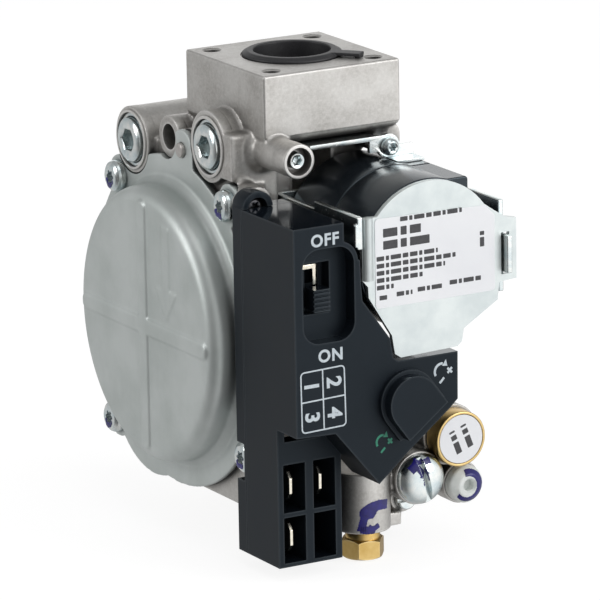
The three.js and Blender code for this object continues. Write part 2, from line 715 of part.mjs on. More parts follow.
function platePoints() {
  const { x, z, arcR } = PLATE;
  const start = THREE.MathUtils.degToRad(141);
  const end = THREE.MathUtils.degToRad(36);
  const steps = 20;
  const arc = Array.from({ length: steps + 1 }, (_, i) => {
    const angle = start + ((end - start) * i) / steps;
    return [x + arcR * Math.cos(angle), z + arcR * Math.sin(angle)];
  });
  return [
    [-8.4, -41.3],
    [-8.4, -27.5],
    ...arc,
    [24.8, -30],
    [27.6, -31.8],
    [30.5, -32.4],
    [30.5, -46],
    [26.1, -46.3],
    [25.6, -50.2],
    [16.9, -55.4],
    [16.4, -58.2],
    [15.2, -59.2],
    [0.9, -59.6],
    [-0.6, -58.6],
    [-1.3, -54.4],
    [-7, -45.2],
    [-7.1, -42.8],
  ];
}

function frontPlate() {
  const slotGap = 0.4;
  const { right, sheet } = FRAME;
  const slot = slab(right - sheet - slotGap, right + slotGap, -50, -40, -44.7, -35.3);
  const fold = bar("z", -7.1, PLATE.front + 0.2, 1.3, -41.3, -27.5, SMALL);
  const flat = prism("y", outline(platePoints()), PLATE.front, PLATE.back);
  return flat.subtract(slot).add(fold.intersect(slab(-9, 0, -50, PLATE.back, -50, 0)));
}

function ratingLabel() {
  const shape = outline([
    [-5.3, -47.6],
    [24.9, -47.9],
    [24.9, -31],
    [22.4, -28.6],
    [-5.3, -28],
  ]);
  return prism("y", shape, PLATE.front - 0.15, PLATE.front);
}

// A tongue under the flange, an ear that the screw holds, and a foot on the coils' connector box.
function coilStrap() {
  const { x, z, front, sheet, earR, footFront } = STRAP;
  const back = front + sheet;
  const under = -FLANGE.thick - 0.3;
  const boxTop = COIL_BOX.top + 0.05;
  const screwHole = bar("y", x, z, 1.6, -30, -10, SMALL);
  const coilRoom = bar("y", COIL.x, COIL.z, COIL.r + GAP, -30, -9, FINE);
  const strap = join(
    slab(-7, 10, front, -12, under - sheet, under),
    slab(8, x, front, back, z - 1, under),
    bar("y", x, z, earR, front, back, ROUND),
    slab(12.2, 19.2, front, back, boxTop, z),
    slab(12.2, 19.2, footFront, back, boxTop, boxTop + 0.7),
  );
  return cut(strap, screwHole, coilRoom);
}

function strapScrew() {
  return turned("y", STRAP.x, STRAP.z, [
    [0, -21.3],
    [STRAP.headR - 0.6, -21.1],
    [STRAP.headR, -20.5],
    [STRAP.headR, -19.5],
    [1.4, -19.5],
    [1.4, -8],
    [0, -8],
  ]);
}

// ---------------------------------------------------------------- switch and terminals

// Front of the cover, anticlockwise from its top left corner.
const FRONT_POINTS = [
  [-25.8, -27.5],
  [-25.8, -73.7],
  [-16.1, -74],
  [-5.3, -87],
  [2.6, -80.4],
  [12.7, -72.7],
  [14.8, -70.8],
  [14.9, -60.1],
  [-0.2, -60.1],
  [-1.4, -59.2],
  [-2.1, -54.8],
  [-8.9, -45.4],
  [-9.2, -42],
  [-9.4, -36.4],
  [-11.6, -34.6],
  [-13.3, -32.7],
  [-13.3, -27.6],
];

// A half disc that ends in two square corners, pointing down to the right.
function hoodShape(grow) {
  const { x, z, reach, slope } = HOOD;
  const r = HOOD.r + grow;
  const out = THREE.MathUtils.degToRad(slope);
  const side = out + Math.PI / 2;
  const corner = (sign) => [
    x + reach * Math.cos(out) + sign * r * Math.cos(side),
    z + reach * Math.sin(out) + sign * r * Math.sin(side),
  ];
  const shape = new THREE.Shape();
  shape.moveTo(...corner(-1));
  shape.lineTo(...corner(1));
  shape.absarc(x, z, r, side, side + Math.PI);
  return shape;
}

function terminalCells() {
  const columns = [
    [-24.4, -19],
    [-16.9, -11.5],
  ];
  const rows = [
    [-92.7, -81.9],
    [-104.1, -93.8],
  ];
  return columns.flatMap(([x0, x1]) =>
    rows.map(([z0, z1]) =>
      slab(x0, x1, TERMINAL.front - 1, TERMINAL.front + TERMINAL.deep + 1, z0, z1),
    ),
  );
}

function switchCover() {
  const { left, seam, wall, bottom, right } = CASE;
  const { front, columnRight, step } = COVER;
  const skirt = front + 12;
  const frontShape = prism("y", outline(FRONT_POINTS), front, skirt);
  const shell = join(
    frontShape.subtract(prism("y", outline(inset(FRONT_POINTS, wall)), front + wall, skirt + 1)),
    slab(left, columnRight, front, seam, step, COVER.top),
    slab(left, right, TERMINAL.front, seam, bottom, -60),
    prism("y", hoodShape(0.9), front - 1.2, front + 0.1, 24),
    prism("y", hoodShape(0), front - 3.8, front + 0.1, 24),
  );
  const inner = join(
    slab(left + wall, columnRight - wall, front + wall, seam, step + wall, COVER.top - wall),
    slab(left + wall, right - wall, TERMINAL.front + wall, seam + 1, bottom + wall, step - wall),
    slab(left + wall, columnRight - wall, front + wall, seam + 1, step - 3, -40),
    prism("y", hoodShape(-1.4), front - 2.4, front + wall + 0.1, 16),
    slab(left + wall, columnRight - wall, seam - 1, seam + 1, -80, COVER.top - wall),
  );
  const cells = slab(-25, -10.9, TERMINAL.front, TERMINAL.front + TERMINAL.deep, -104.6, -81.2);
  const well = prism("y", roundedBox(-24.5, -9.9, -54.4, -31.5, 4.8), front, SWITCH.floor + 1.5, 12);
  const pocket = prism("y", roundedBox(-23.6, -10.9, -53.4, -32.6, 4), front - 1, SWITCH.floor, 16);
  const window = slab(-21.8, -15, SWITCH.floor - 1, SWITCH.floor + 3, -47.6, -36.4);
  return cut(join(shell.subtract(inner), cells, well), pocket, window, ...terminalCells());
}

function switchCase() {
  const { left, back, seam, wall, bottom, right } = CASE;
  const { columnRight, top } = COVER;
  const { x, z, lugR, lugFront, seatR } = COVER_SCREW;
  const front = seam + GAP;
  const plan = outline([
    [left, bottom],
    [right, bottom],
    [right, -60],
    [columnRight, -57],
    [columnRight, top],
    [left, top],
  ]);
  const behindCover = slab(-40, 0, lugFront - 1, front, -60, top + GAP);
  const lug = bar("y", x, z, lugR, lugFront, back, FINE).subtract(behindCover);
  const earRoom = slab(-23, right - wall, -30, 0, -90.5, -78.5);
  const headRoom = slab(-30, -20, front + 0.7, 0, DOME_SCREWS.lr[1] - 4.2, DOME_SCREWS.lr[1] + 4.2);
  return cut(
    prism("y", plan, front, back).add(lug),
    slab(left + wall, columnRight - wall, front - 1, back - 1.5, bottom + wall, top - lugR - 1),
    slab(left + wall, right - wall, front - 1, back - 1.5, bottom + wall, -62),
    bar("y", x, z, 1.5, -30, 0, SMALL),
    bar("y", x, z, seatR, -30, front + 2, ROUND),
    earRoom,
    headRoom,
  );
}

function housingScrew() {
  const { x, z, headR } = COVER_SCREW;
  const under = CASE.seam + 2;
  const end = CASE.back + 2.1;
  return turned("y", x, z, [
    [0, under - 1.7],
    [headR - 0.5, under - 1.7],
    [headR, under - 1.2],
    [headR, under],
    [1.3, under],
    [1.3, end],
    [0, end],
  ]);
}

function switchParts(parent) {
  const { x, z, wide, high, travel, floor } = SWITCH;
  const stem = { left: x - 1.4, right: x - 0.2, back: floor + 4.6, half: 1 };
  const thumb = join(
    slab(x - wide / 2, x + wide / 2, floor - 1.9, floor + 2, z - high / 2, z + high / 2),
    slab(stem.left, stem.right, floor + 1.9, stem.back, z - stem.half, z + stem.half),
    slab(x - 1.9, x + 1.9, stem.back - 0.1, stem.back + 1.4, z - 2.6, z + 2.6),
  );
  const ribs = [-2, -1, 0, 1, 2].map((i) =>
    slab(x - wide, x + wide, floor - 3, floor - 1.45, z + i - 0.2, z + i + 0.2),
  );
  const housing = slab(x - 4, x + 2.5, floor + 2.9, floor + 9, z - 6, z + travel + 6);
  const track = slab(x - 2.1, x + 2.1, floor + 4.4, floor + 7, z - 3, z + travel + 3);
  const slot = slab(x - 1.6, x + 1.6, floor + 2, floor + 5, z - 2, z + travel + 2);
  const contact = join(
    slab(-21.4, -16.9, floor + 2.2, floor + 2.7, -38.2, -37.2),
    slab(-17.8, -16.9, floor + 2.2, floor + 2.7, -41.8, -37.2),
  );
  mesh("switch_slider", cut(thumb, ...ribs), BLACK, parent);
  mesh("switch_body", cut(housing, track, slot), BLACK, parent);
  mesh("switch_contact", contact, NICKEL, parent);
}

// A quick-connect blade, its tip pointing to -Y, with a thinner shank that the block holds.
function blade() {
  const { thick, wide, tip, shoulder, end } = BLADE;
  const half = wide / 2;
  const tab = outline([
    [tip, -half + 1.2],
    [tip + 1, -half],
    [shoulder, -half],
    [shoulder, half],
    [tip + 1, half],
    [tip, half - 1.2],
  ]);
  const shank = slab(-thick * 0.35, thick * 0.35, shoulder - 0.1, end, -half, half);
  return prism("x", tab, -thick / 2, thick / 2).add(shank);
}

function terminalBlock() {
  const slots = Object.values(BLADES).map(([x, z]) =>
    slab(x - 0.5, x + 0.5, -30, -20, z - 3.3, z + 3.3),
  );
  return cut(slab(-23.9, -11.8, -26.9, -24.6, -103, -79), ...slots);
}

// ---------------------------------------------------------------- regulator, taps, pilot

function regulatorParts(parent) {
  const { x, z, capR, boreR, face, slotTurn } = REG;
  const cap = turned("y", x, z, [
    [0, face - 3.7],
    [2.4, face - 3.5],
    [4.4, face - 2.6],
    [capR, face - 1],
    [capR, face - GAP],
    [boreR - 0.2, face - GAP],
    [boreR - 0.2, face + 3.5],
    [0, face + 3.5],
  ]);
  const slot = slab(-0.7, 0.7, face - 5, face - 2.3, -6, 6);
  const capSlot = slot.rotate([0, slotTurn, 0]).translate([x, 0, z]);
  const adjuster = turned("y", x, z, [
    [0, face + 4.4],
    [boreR - 0.25, face + 4.4],
    [boreR - 0.25, face + 8],
    [2.2, face + 8],
    [2.2, face + 9.6],
    [0, face + 9.6],
  ]).subtract(slab(x - 0.6, x + 0.6, face + 3, face + 5.6, z - 3.4, z + 3.4));
  const disc = turned("y", x, z, [
    [0, -16.4],
    [boreR - 0.2, -16.4],
    [boreR - 0.2, -15.7],
    [2, -15],
    [0, -15],
  ]);
  mesh("regulator_cap", cap.subtract(capSlot), ZINC, parent);
  mesh("regulator_adjuster", adjuster, WHITE, parent);
  mesh("regulator_diaphragm", disc, RUBBER, parent);
  mesh("regulator_spring", spring("y", x, z, 3.1, 0.35, face + 8.5, -16.9, 4), STEEL, parent);
}

function gasCap() {
  const { x, z, capR, face } = GAS;
  return turned("y", x, z, [
    [0, face - 4.2],
    [capR - 0.6, face - 4.2],
    [capR - 0.6, face - 4.6],
    [capR, face - 4.3],
    [capR, face - GAP],
    [4, face - GAP],
    [4, face + 6],
    [0, face + 6],
  ]);
}

function gasCapDisc() {
  return bar("y", GAS.x, GAS.z, GAS.capR - 0.75, GAS.face - 4.55, GAS.face - 4.25, ROUND);
}

function outletTapPlug() {
  const { x, z, r, face } = OUT_TAP;
  const plug = turned("y", x, z, [
    [0, face - 3.6],
    [r - 0.9, face - 3.6],
    [r, face - 2.8],
    [r, face - GAP],
    [2.5, face - GAP],
    [2.5, face + 6],
    [0, face + 6],
  ]);
  return plug.subtract(prism("y", polygon(x, z, 3.6, 6), face - 5, face - 1));
}

function pilotAdjuster() {
  const { x, z, r, face } = PILOT_SCREW;
  const screw = turned("y", x, z, [
    [0, face - 2.2],
    [r - 0.5, face - 2.2],
    [r, face - 1.7],
    [r, face - GAP],
    [1.4, face - GAP],
    [1.4, face + 6],
    [0, face + 6],
  ]);
  return screw.subtract(slab(x - 4, x + 4, face - 4, face - 1.4, z - 0.4, z + 0.4));
}

function inletTapScrew() {
  const { x, z, end } = TAP;
  const screw = turned("y", x, z, [
    [0, end + 0.8],
    [1.8, end + 0.8],
    [1.8, end + 8],
    [0, end + 8],
  ]);
  return screw.subtract(prism("y", polygon(x, z, 2, 6), end - 1, end + 2.6));
}

function pilotNut() {
  const { x, y, end, bottom } = PILOT;
  const collar = end - 2.2;
  return join(
    prism("z", polygon(x, y, PILOT.across, 6), bottom, collar),
    bar("z", x, y, 4, collar - 0.1, end - GAP, ROUND),
    bar("z", x, y, 3.6, end - 1, end + 6, SMALL),
  ).subtract(bar("z", x, y, 2.1, bottom - 1, end + 7, SMALL));
}

function pilotFerrule() {
  const { x, y, end } = PILOT;
  return turned("z", x, y, [
    [2.2, end + 6.1],
    [3.5, end + 6.1],
    [3.5, end + 7.4],
    [2.6, end + 9.2],
    [2.2, end + 9.2],
    [2.2, end + 6.1],
  ]);
}

// ---------------------------------------------------------------- the valve

const valve = new THREE.Group();

mesh("valve_body", valveBody(), CAST, valve);
mesh("inlet_seal_ring", inletSealRing(), RUBBER, valve);
mesh("inlet_screen", inletScreen(), STEEL, valve);

const diaphragmSide = new THREE.Group();
mesh("diaphragm_cover", diaphragmCover(), PRESSED, diaphragmSide);
mesh("main_diaphragm", mainDiaphragm(), RUBBER, diaphragmSide);
mesh("locating_pin", bar("x", PIN.y, PIN.z, PIN.r, LEFT_FACE - 0.8, BODY_FACE + 4.8), STEEL, diaphragmSide);
mainValve(diaphragmSide);
for (const [place, [y, z]] of Object.entries(DOME_SCREWS)) {
  const screw = mesh(`cover_screw_${place}`, coverScrew(), ZINC, diaphragmSide);
  screw.position.set(LEFT_FACE - GAP, y, z);
}
for (const [place, [y, z]] of Object.entries(PLUGS)) {
  const plug = mesh(`${place}_pipe_plug`, pipePlug(), ZINC, diaphragmSide);
  const washer = mesh(`${place}_plug_washer`, plugWasher(), ZINC, diaphragmSide);
  plug.position.set(LEFT_FACE, y, z);
  washer.position.set(LEFT_FACE, y, z);
}
valve.add(diaphragmSide);

const coils = new THREE.Group();
mesh("rear_coil_shell", coilShell(COIL.seam + GAP, COIL.back), BLACK_GLOSS, coils);
mesh("front_coil_shell", coilShell(COIL.front, COIL.seam - GAP), BLACK_GLOSS, coils);
mesh("rear_winding", winding(COIL.seam + 2, COIL.back - 0.3), COPPER, coils);
mesh("front_winding", winding(COIL.front + 1.9, COIL.seam - 0.5), COPPER, coils);
mesh("core_tube", coreTube(), STEEL, coils);
plungers(coils);
mesh("coil_frame", coilFrame(), ZINC, coils);
mesh("front_plate", frontPlate(), ZINC, coils);
mesh("rating_label", ratingLabel(), PAPER, coils);
mesh("coil_strap", coilStrap(), ZINC, coils);
mesh("strap_screw", strapScrew(), ZINC, coils);
valve.add(coils);

const switchGroup = new THREE.Group();
mesh("switch_case", switchCase(), BLACK, switchGroup);
mesh("switch_cover", switchCover(), BLACK, switchGroup);
mesh("housing_screw", housingScrew(), ZINC, switchGroup);
switchParts(switchGroup);
mesh("terminal_block", terminalBlock(), BLACK, switchGroup);
for (const [number, [x, z]] of Object.entries(BLADES)) {
  mesh(`terminal_blade_${number}`, blade(), NICKEL, switchGroup).position.set(x, 0, z);
}
valve.add(switchGroup);

const fittings = new THREE.Group();
regulatorParts(fittings);
mesh("gas_cap", gasCap(), BRASS, fittings);
mesh("gas_cap_disc", gasCapDisc(), PAPER, fittings);
mesh("outlet_tap_plug", outletTapPlug(), WHITE, fittings);
mesh("pilot_adjuster", pilotAdjuster(), ZINC, fittings);
mesh("inlet_tap_screw", inletTapScrew(), ZINC, fittings);
mesh("pilot_nut", pilotNut(), BRASS, fittings);
mesh("pilot_ferrule", pilotFerrule(), BRASS, fittings);
valve.add(fittings);

const bounds = new THREE.Box3().setFromObject(valve);
const middle = bounds.getCenter(new THREE.Vector3());
valve.position.set(-middle.x, -middle.y, -bounds.min.z);

export default valve;
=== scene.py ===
"""Looks of a combination gas valve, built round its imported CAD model.

Shapes are built in valve millimetres: the origin is where the inlet port's axis meets the
flange face, -Y is the front, +Z is up, and the diaphragm cover faces -X. piece() moves each
finished shape into the row frame, in metres.
"""

import json
import math
from contextlib import contextmanager

import bmesh
import bpy
from mathutils import Matrix, Vector
from mathutils.bvhtree import BVHTree

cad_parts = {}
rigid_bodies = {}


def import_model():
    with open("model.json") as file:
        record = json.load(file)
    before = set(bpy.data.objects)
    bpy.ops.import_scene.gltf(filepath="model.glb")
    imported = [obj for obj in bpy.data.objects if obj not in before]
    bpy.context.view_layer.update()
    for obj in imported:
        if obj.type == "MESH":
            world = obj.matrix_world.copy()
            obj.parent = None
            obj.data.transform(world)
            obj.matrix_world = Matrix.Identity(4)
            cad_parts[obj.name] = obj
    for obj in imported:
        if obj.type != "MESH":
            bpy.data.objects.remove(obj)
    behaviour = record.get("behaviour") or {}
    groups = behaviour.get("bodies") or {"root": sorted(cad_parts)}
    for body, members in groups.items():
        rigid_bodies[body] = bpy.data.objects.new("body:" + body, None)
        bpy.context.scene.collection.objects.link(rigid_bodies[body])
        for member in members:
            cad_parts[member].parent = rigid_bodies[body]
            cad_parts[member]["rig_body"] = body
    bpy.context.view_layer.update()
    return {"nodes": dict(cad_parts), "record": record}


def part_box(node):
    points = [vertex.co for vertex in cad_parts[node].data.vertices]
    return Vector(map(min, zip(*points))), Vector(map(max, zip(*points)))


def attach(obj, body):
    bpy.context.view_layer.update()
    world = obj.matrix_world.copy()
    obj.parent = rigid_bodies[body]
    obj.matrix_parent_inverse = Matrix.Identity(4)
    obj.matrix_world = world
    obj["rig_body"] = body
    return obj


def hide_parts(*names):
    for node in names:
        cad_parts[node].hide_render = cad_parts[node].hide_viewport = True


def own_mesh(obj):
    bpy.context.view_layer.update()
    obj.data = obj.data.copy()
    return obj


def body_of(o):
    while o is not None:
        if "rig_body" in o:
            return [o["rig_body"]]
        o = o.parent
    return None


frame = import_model()

MM = 0.001
ROUND = 96  # segments round a turned piece
WELD = 0.002  # CAD vertices nearer than this are one
WHOLE = math.radians(0.6)  # CAD facets that turn less than this are one face
SHARP = math.radians(38)  # edges steeper than this stay sharp in the shading
CREASE = math.radians(4)  # so do edges steeper than this between two broad flats
FLAT = math.radians(0.05)  # faces that turn less than this are one flat
BROAD = 12 * MM * MM  # a broad flat has more area than this
WIDE = 1.6 * MM  # and is wider than this
REACH = math.cos(math.radians(50))  # a bevel takes its flat's normal within this angle
BODY = "valve"

# ---- places, from the frame


def frame_origin():
    lo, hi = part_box("inlet_screen")
    return Vector(((lo.x + hi.x) / 2, (lo.y + hi.y) / 2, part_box("valve_body")[1].z))


ORIGIN = frame_origin()


def span(node):
    """Lowest and highest corner of a CAD node, in valve millimetres."""
    lo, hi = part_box(node)
    return (lo - ORIGIN) / MM, (hi - ORIGIN) / MM


def middle(node):
    lo, hi = span(node)
    return (lo + hi) / 2


def across(axis, place):
    """Where a node's middle lies across an axis. A place that is a pair already stays so."""
    if not isinstance(place, str):
        return place
    at = middle(place)
    return tuple(at[i] for i in range(3) if "xyz"[i] != axis)


# ---- outlines


def soften(points, radius, steps=5, closed=True):
    """The same polyline with its corners rounded. A point's third number is its own radius."""
    out = []
    count = len(points)
    for i, point in enumerate(points):
        here = Vector(point[:2])
        reach = point[2] if len(point) > 2 else radius
        if reach <= 0 or (not closed and i in (0, count - 1)):
            out.append(tuple(here))
            continue
        before = Vector(points[i - 1][:2]) - here
        after = Vector(points[(i + 1) % count][:2]) - here
        half = before.angle(after, math.pi) / 2
        if half > math.radians(88) or half < math.radians(4):
            out.append(tuple(here))
            continue
        room = 0.48 * min(before.length, after.length)
        reach = min(reach, room * math.tan(half))
        along = reach / math.tan(half)
        start = here + before.normalized() * along
        end = here + after.normalized() * along
        centre = here + (before.normalized() + after.normalized()).normalized() * reach / math.sin(half)
        a, b = start - centre, end - centre
        turn = a.angle_signed(b)
        for k in range(steps + 1):
            angle = -turn * k / steps
            cos, sin = math.cos(angle), math.sin(angle)
            out.append((centre.x + a.x * cos - a.y * sin, centre.y + a.x * sin + a.y * cos))
    return out


def area(points):
    pairs = zip(points, points[1:] + points[:1])
    return sum(a[0] * b[1] - b[0] * a[1] for a, b in pairs) / 2


def inset(points, distance):
    """The outline moved inwards. It works for small distances."""
    if distance == 0:
        return points
    sign = 1 if area(points) > 0 else -1
    count = len(points)
    moved = []
    for i in range(count):
        here = Vector(points[i])
        a = here - Vector(points[i - 1])
        b = Vector(points[(i + 1) % count]) - here
        if a.length < 1e-6 or b.length < 1e-6:
            moved.append(tuple(here))
            continue
        a.normalize()
        b.normalize()
        normal = Vector((-a.y - b.y, a.x + b.x)) * sign
        if normal.length < 1e-6:
            moved.append(tuple(here))
            continue
        normal.normalize()
        reach = distance / max(0.4, normal.dot(Vector((-a.y, a.x)) * sign))
        moved.append(tuple(here + normal * reach))
    return moved


def box_outline(u0, u1, v0, v1, radius=0.0, steps=6):
    return soften([(u0, v0), (u1, v0), (u1, v1), (u0, v1)], radius, steps)


def arc(u, v, radius, start, end, steps):
    """Points on an arc, from start to end in degrees."""
    angles = [math.radians(start + (end - start) * i / steps) for i in range(steps + 1)]
    return [(u + radius * math.cos(a), v + radius * math.sin(a)) for a in angles]


# ---- solids


def spot(axis, u, v, h):
    return {"x": (h, u, v), "y": (u, h, v), "z": (u, v, h)}[axis]


def linked(name, data):
    """A new object in the scene."""
    obj = bpy.data.objects.new(name, data)
    bpy.context.scene.collection.objects.link(obj)
    return obj


@contextmanager
def editing(mesh):
    """The mesh as a bmesh, which is written back at the end."""
    bm = bmesh.new()
    bm.from_mesh(mesh)
    yield bm
    bm.to_mesh(mesh)
    bm.free()


def make(name, verts, faces):
    mesh = bpy.data.meshes.new(name)
    mesh.from_pydata([tuple(v) for v in verts], [], faces)
    mesh.validate()
    with editing(mesh) as bm:
        bmesh.ops.recalc_face_normals(bm, faces=bm.faces)
    return linked(name, mesh)


def loft(name, loops, closed=False):
    """Quads between loops of equal length, with flat ends unless the loops close on themselves."""
    count = len(loops[0])
    verts = [point for loop in loops for point in loop]
    faces = []
    for i in range(len(loops) if closed else len(loops) - 1):
        a = i * count
        b = (i + 1) % len(loops) * count
        for j in range(count):
            k = (j + 1) % count
            faces.append((a + j, a + k, b + k, b + j))
    if not closed:
        faces.append(list(range(count))[::-1])
        faces.append(list(range(len(verts) - count, len(verts))))
    return make(name, verts, faces)


def prism(name, axis, outline, lo, hi, soft=0.0, steps=3):
    """An outline across an axis, between two places on it, with rounded edges."""
    if soft == 0:
        levels = [(0, lo), (0, hi)]
    else:
        turns = [math.pi / 2 * k / steps for k in range(steps + 1)]
        start = [(soft * (1 - math.sin(t)), lo + soft * (1 - math.cos(t))) for t in turns]
        end = [(d, hi - (h - lo)) for d, h in reversed(start)]
        levels = start + end
    loops = [[spot(axis, u, v, h) for u, v in inset(outline, d)] for d, h in levels]
    return loft(name, loops)


def round_form(angle):
    return 1.0


def hex_form(angle):
    """Radius of a hexagon whose corners are at radius 1."""
    side = (angle % (math.pi / 3)) - math.pi / 6
    return math.cos(math.pi / 6) / math.cos(side)


def star_form(angle):
    """Radius of a six-lobed drive whose lobes reach radius 1."""
    return 0.86 + 0.14 * math.cos(6 * angle)


def lathe(name, axis, place, profile, segments=ROUND, closed=False):
    """A turned piece. Profile: (radius, height on the axis) and, for a drive, a form."""
    u, v = across(axis, place)
    angles = [2 * math.pi * i / segments for i in range(segments)]
    loops = []
    for radius, height, *form in profile:
        reach = form[0] if form else round_form
        sides = [(radius * reach(a) * math.cos(a), radius * reach(a) * math.sin(a)) for a in angles]
        loops.append([spot(axis, u + du, v + dv, height) for du, dv in sides])
    return loft(name, loops, closed)


def bar(name, axis, place, radius, lo, hi, soft=0.0, segments=ROUND):
    if soft == 0:
        return lathe(name, axis, place, [(radius, lo), (radius, hi)], segments)
    profile = soften([(0, lo), (radius, lo), (radius, hi), (0, hi)], soft, 4, closed=False)
    return lathe(name, axis, place, profile[1:-1], segments)


def box(name, lo, hi, soft=0.0):
    return prism(name, "z", box_outline(lo[0], hi[0], lo[1], hi[1], soft), lo[2], hi[2], soft)


def from_cad(name, node):
    """A copy of a CAD node's mesh, in valve millimetres, welded, with flat faces made whole."""
    obj = linked(name, frame["nodes"][node].data.copy())
    obj.data.materials.clear()
    obj.data.transform(Matrix.Scale(1 / MM, 4) @ Matrix.Translation(-ORIGIN))
    with editing(obj.data) as bm:
        bmesh.ops.remove_doubles(bm, verts=bm.verts, dist=WELD)
        bmesh.ops.dissolve_limit(bm, angle_limit=WHOLE, verts=bm.verts, edges=bm.edges)
    return obj


def bake(obj):
    graph = bpy.context.evaluated_depsgraph_get()
    mesh = bpy.data.meshes.new_from_object(obj.evaluated_get(graph))
    obj.modifiers.clear()
    old = obj.data
    obj.data = mesh
    bpy.data.meshes.remove(old)
    return obj


def discard(objects):
    for obj in objects:
        bpy.data.objects.remove(obj)


def join(name, parts):
    bm = bmesh.new()
    for part in parts:
        bm.from_mesh(part.data)
    mesh = bpy.data.meshes.new(name)
    bm.to_mesh(mesh)
    bm.free()
    discard(parts)
    return linked(name, mesh)


def combine(obj, others, operation):
    for other in others:
        step = obj.modifiers.new("step", "BOOLEAN")
        step.operation = operation
        step.object = other
        step.solver = "MANIFOLD"
    bake(obj)
    discard(others)
    return obj


def gridded(obj, step):
    """The same solid with its faces cut along a grid, so that no face has a hole inside it."""
    with editing(obj.data) as bm:
        for axis in range(3):
            places = [v.co[axis] for v in bm.verts]
            plane = Vector((0, 0, 0))
            plane[axis] = 1
            count = int((max(places) - min(places)) / step)
            for k in range(1, count + 1):
                at = plane * (min(places) + k * step)
                everything = bm.verts[:] + bm.edges[:] + bm.faces[:]
                bmesh.ops.bisect_plane(bm, geom=everything, plane_co=at, plane_no=plane, dist=1e-5)
    return obj


def cut(obj, *cutters):
    return combine(obj, list(cutters), "DIFFERENCE")


def add(obj, *others):
    return combine(obj, list(others), "UNION")


def melt(name, parts, voxel, passes):
    """One smooth skin round overlapping solids, with soft edges, as a casting or moulding has."""
    whole = join(name, parts)
    remesh = whole.modifiers.new("melt", "REMESH")
    remesh.mode = "VOXEL"
    remesh.voxel_size = voxel
    smooth = whole.modifiers.new("smooth", "SMOOTH")
    smooth.factor = 0.5
    smooth.iterations = passes
    return bake(whole)


def bevelled(obj, width, segments):
    step = obj.modifiers.new("bevel", "BEVEL")
    step.width = width
    step.segments = segments
    step.limit_method = "ANGLE"
    step.angle_limit = math.radians(30)
    step.use_clamp_overlap = True
    step.miter_outer = "MITER_ARC"
    return bake(obj)


def flat_regions(bm):
    """Faces of broad flat regions, and not the facets of a curved face: their indices."""
    broad = set()
    seen = set()
    for first in bm.faces:
        if first.index in seen:
            continue
        seen.add(first.index)
        region, waiting, area, rim = [], [first], 0.0, 0.0
        while waiting:
            face = waiting.pop()
            region.append(face.index)
            area += face.calc_area()
            for edge in face.edges:
                other = next((f for f in edge.link_faces if f is not face), None)
                if other is None or edge.calc_face_angle(1) > FLAT:
                    rim += edge.calc_length()
                elif other.index not in seen:
                    seen.add(other.index)
                    waiting.append(other)
        if area > BROAD and 2 * area > WIDE * rim:
            broad.update(region)
    return broad


def shade(obj):
    """Smooth shading with crisp creases. Broad flats pass their normals on to their bevels."""
    with editing(obj.data) as bm:
        broad = flat_regions(bm)
        for face in bm.faces:
            face.smooth = True
        for edge in bm.edges:
            turn = edge.calc_face_angle(0)
            flats = all(face.index in broad for face in edge.link_faces)
            edge.smooth = len(edge.link_faces) == 2 and turn < (CREASE if flats else SHARP)
    if broad:
        spread_normals(obj.data, broad)


def spread_normals(mesh, broad):
    flat = {}
    for index in broad:
        face = mesh.polygons[index]
        for corner in face.vertices:
            flat.setdefault(corner, []).append(face.normal.copy())
    normals = [tuple(corner.vector) for corner in mesh.corner_normals]
    for face in mesh.polygons:
        for loop in face.loop_indices:
            choices = flat.get(mesh.loops[loop].vertex_index)
            if choices:
                best = max(choices, key=face.normal.dot)
                if face.normal.dot(best) > REACH:
                    normals[loop] = tuple(best)
    mesh.normals_split_custom_set(normals)


def piece(obj, slot, nodes=(), body=BODY, look=None):
    """Finishes a shape: its place, shading, material and the body it rides on; it hides the CAD nodes it
    stands for.
    """
    obj.data.transform(Matrix.Translation(ORIGIN) @ Matrix.Scale(MM, 4))
    shade(obj)
    obj.data.materials.clear()
    obj.data.materials.append(look or LOOKS[slot])
    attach(obj, body)
    if nodes:
        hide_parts(*nodes)
    return obj


def rounded(name, node, width, segments, slot, body=BODY, look=None):
    """A piece with its CAD shape, and its edges rounded."""
    return piece(bevelled(from_cad(name, node), width, segments), slot, [node], body, look)


# ---- materials


def feed(tree, socket, value):
    """Links an input to a socket, or sets its value."""
    if isinstance(value, bpy.types.NodeSocket):
        tree.links.new(value, socket)
    else:
        socket.default_value = (*value, 1) if socket.type == "RGBA" else value


def add_node(tree, kind, *values, settings=None, **inputs):
    """A node. Its inputs come in order or by name, each as a socket to link or a value to set."""
    node = tree.nodes.new(kind)
    for key, value in (settings or {}).items():
        setattr(node, key, value)
    for socket, value in zip(node.inputs, values):
        feed(tree, socket, value)
    for key, value in inputs.items():
        feed(tree, node.inputs[key.replace("_", " ")], value)
    return node


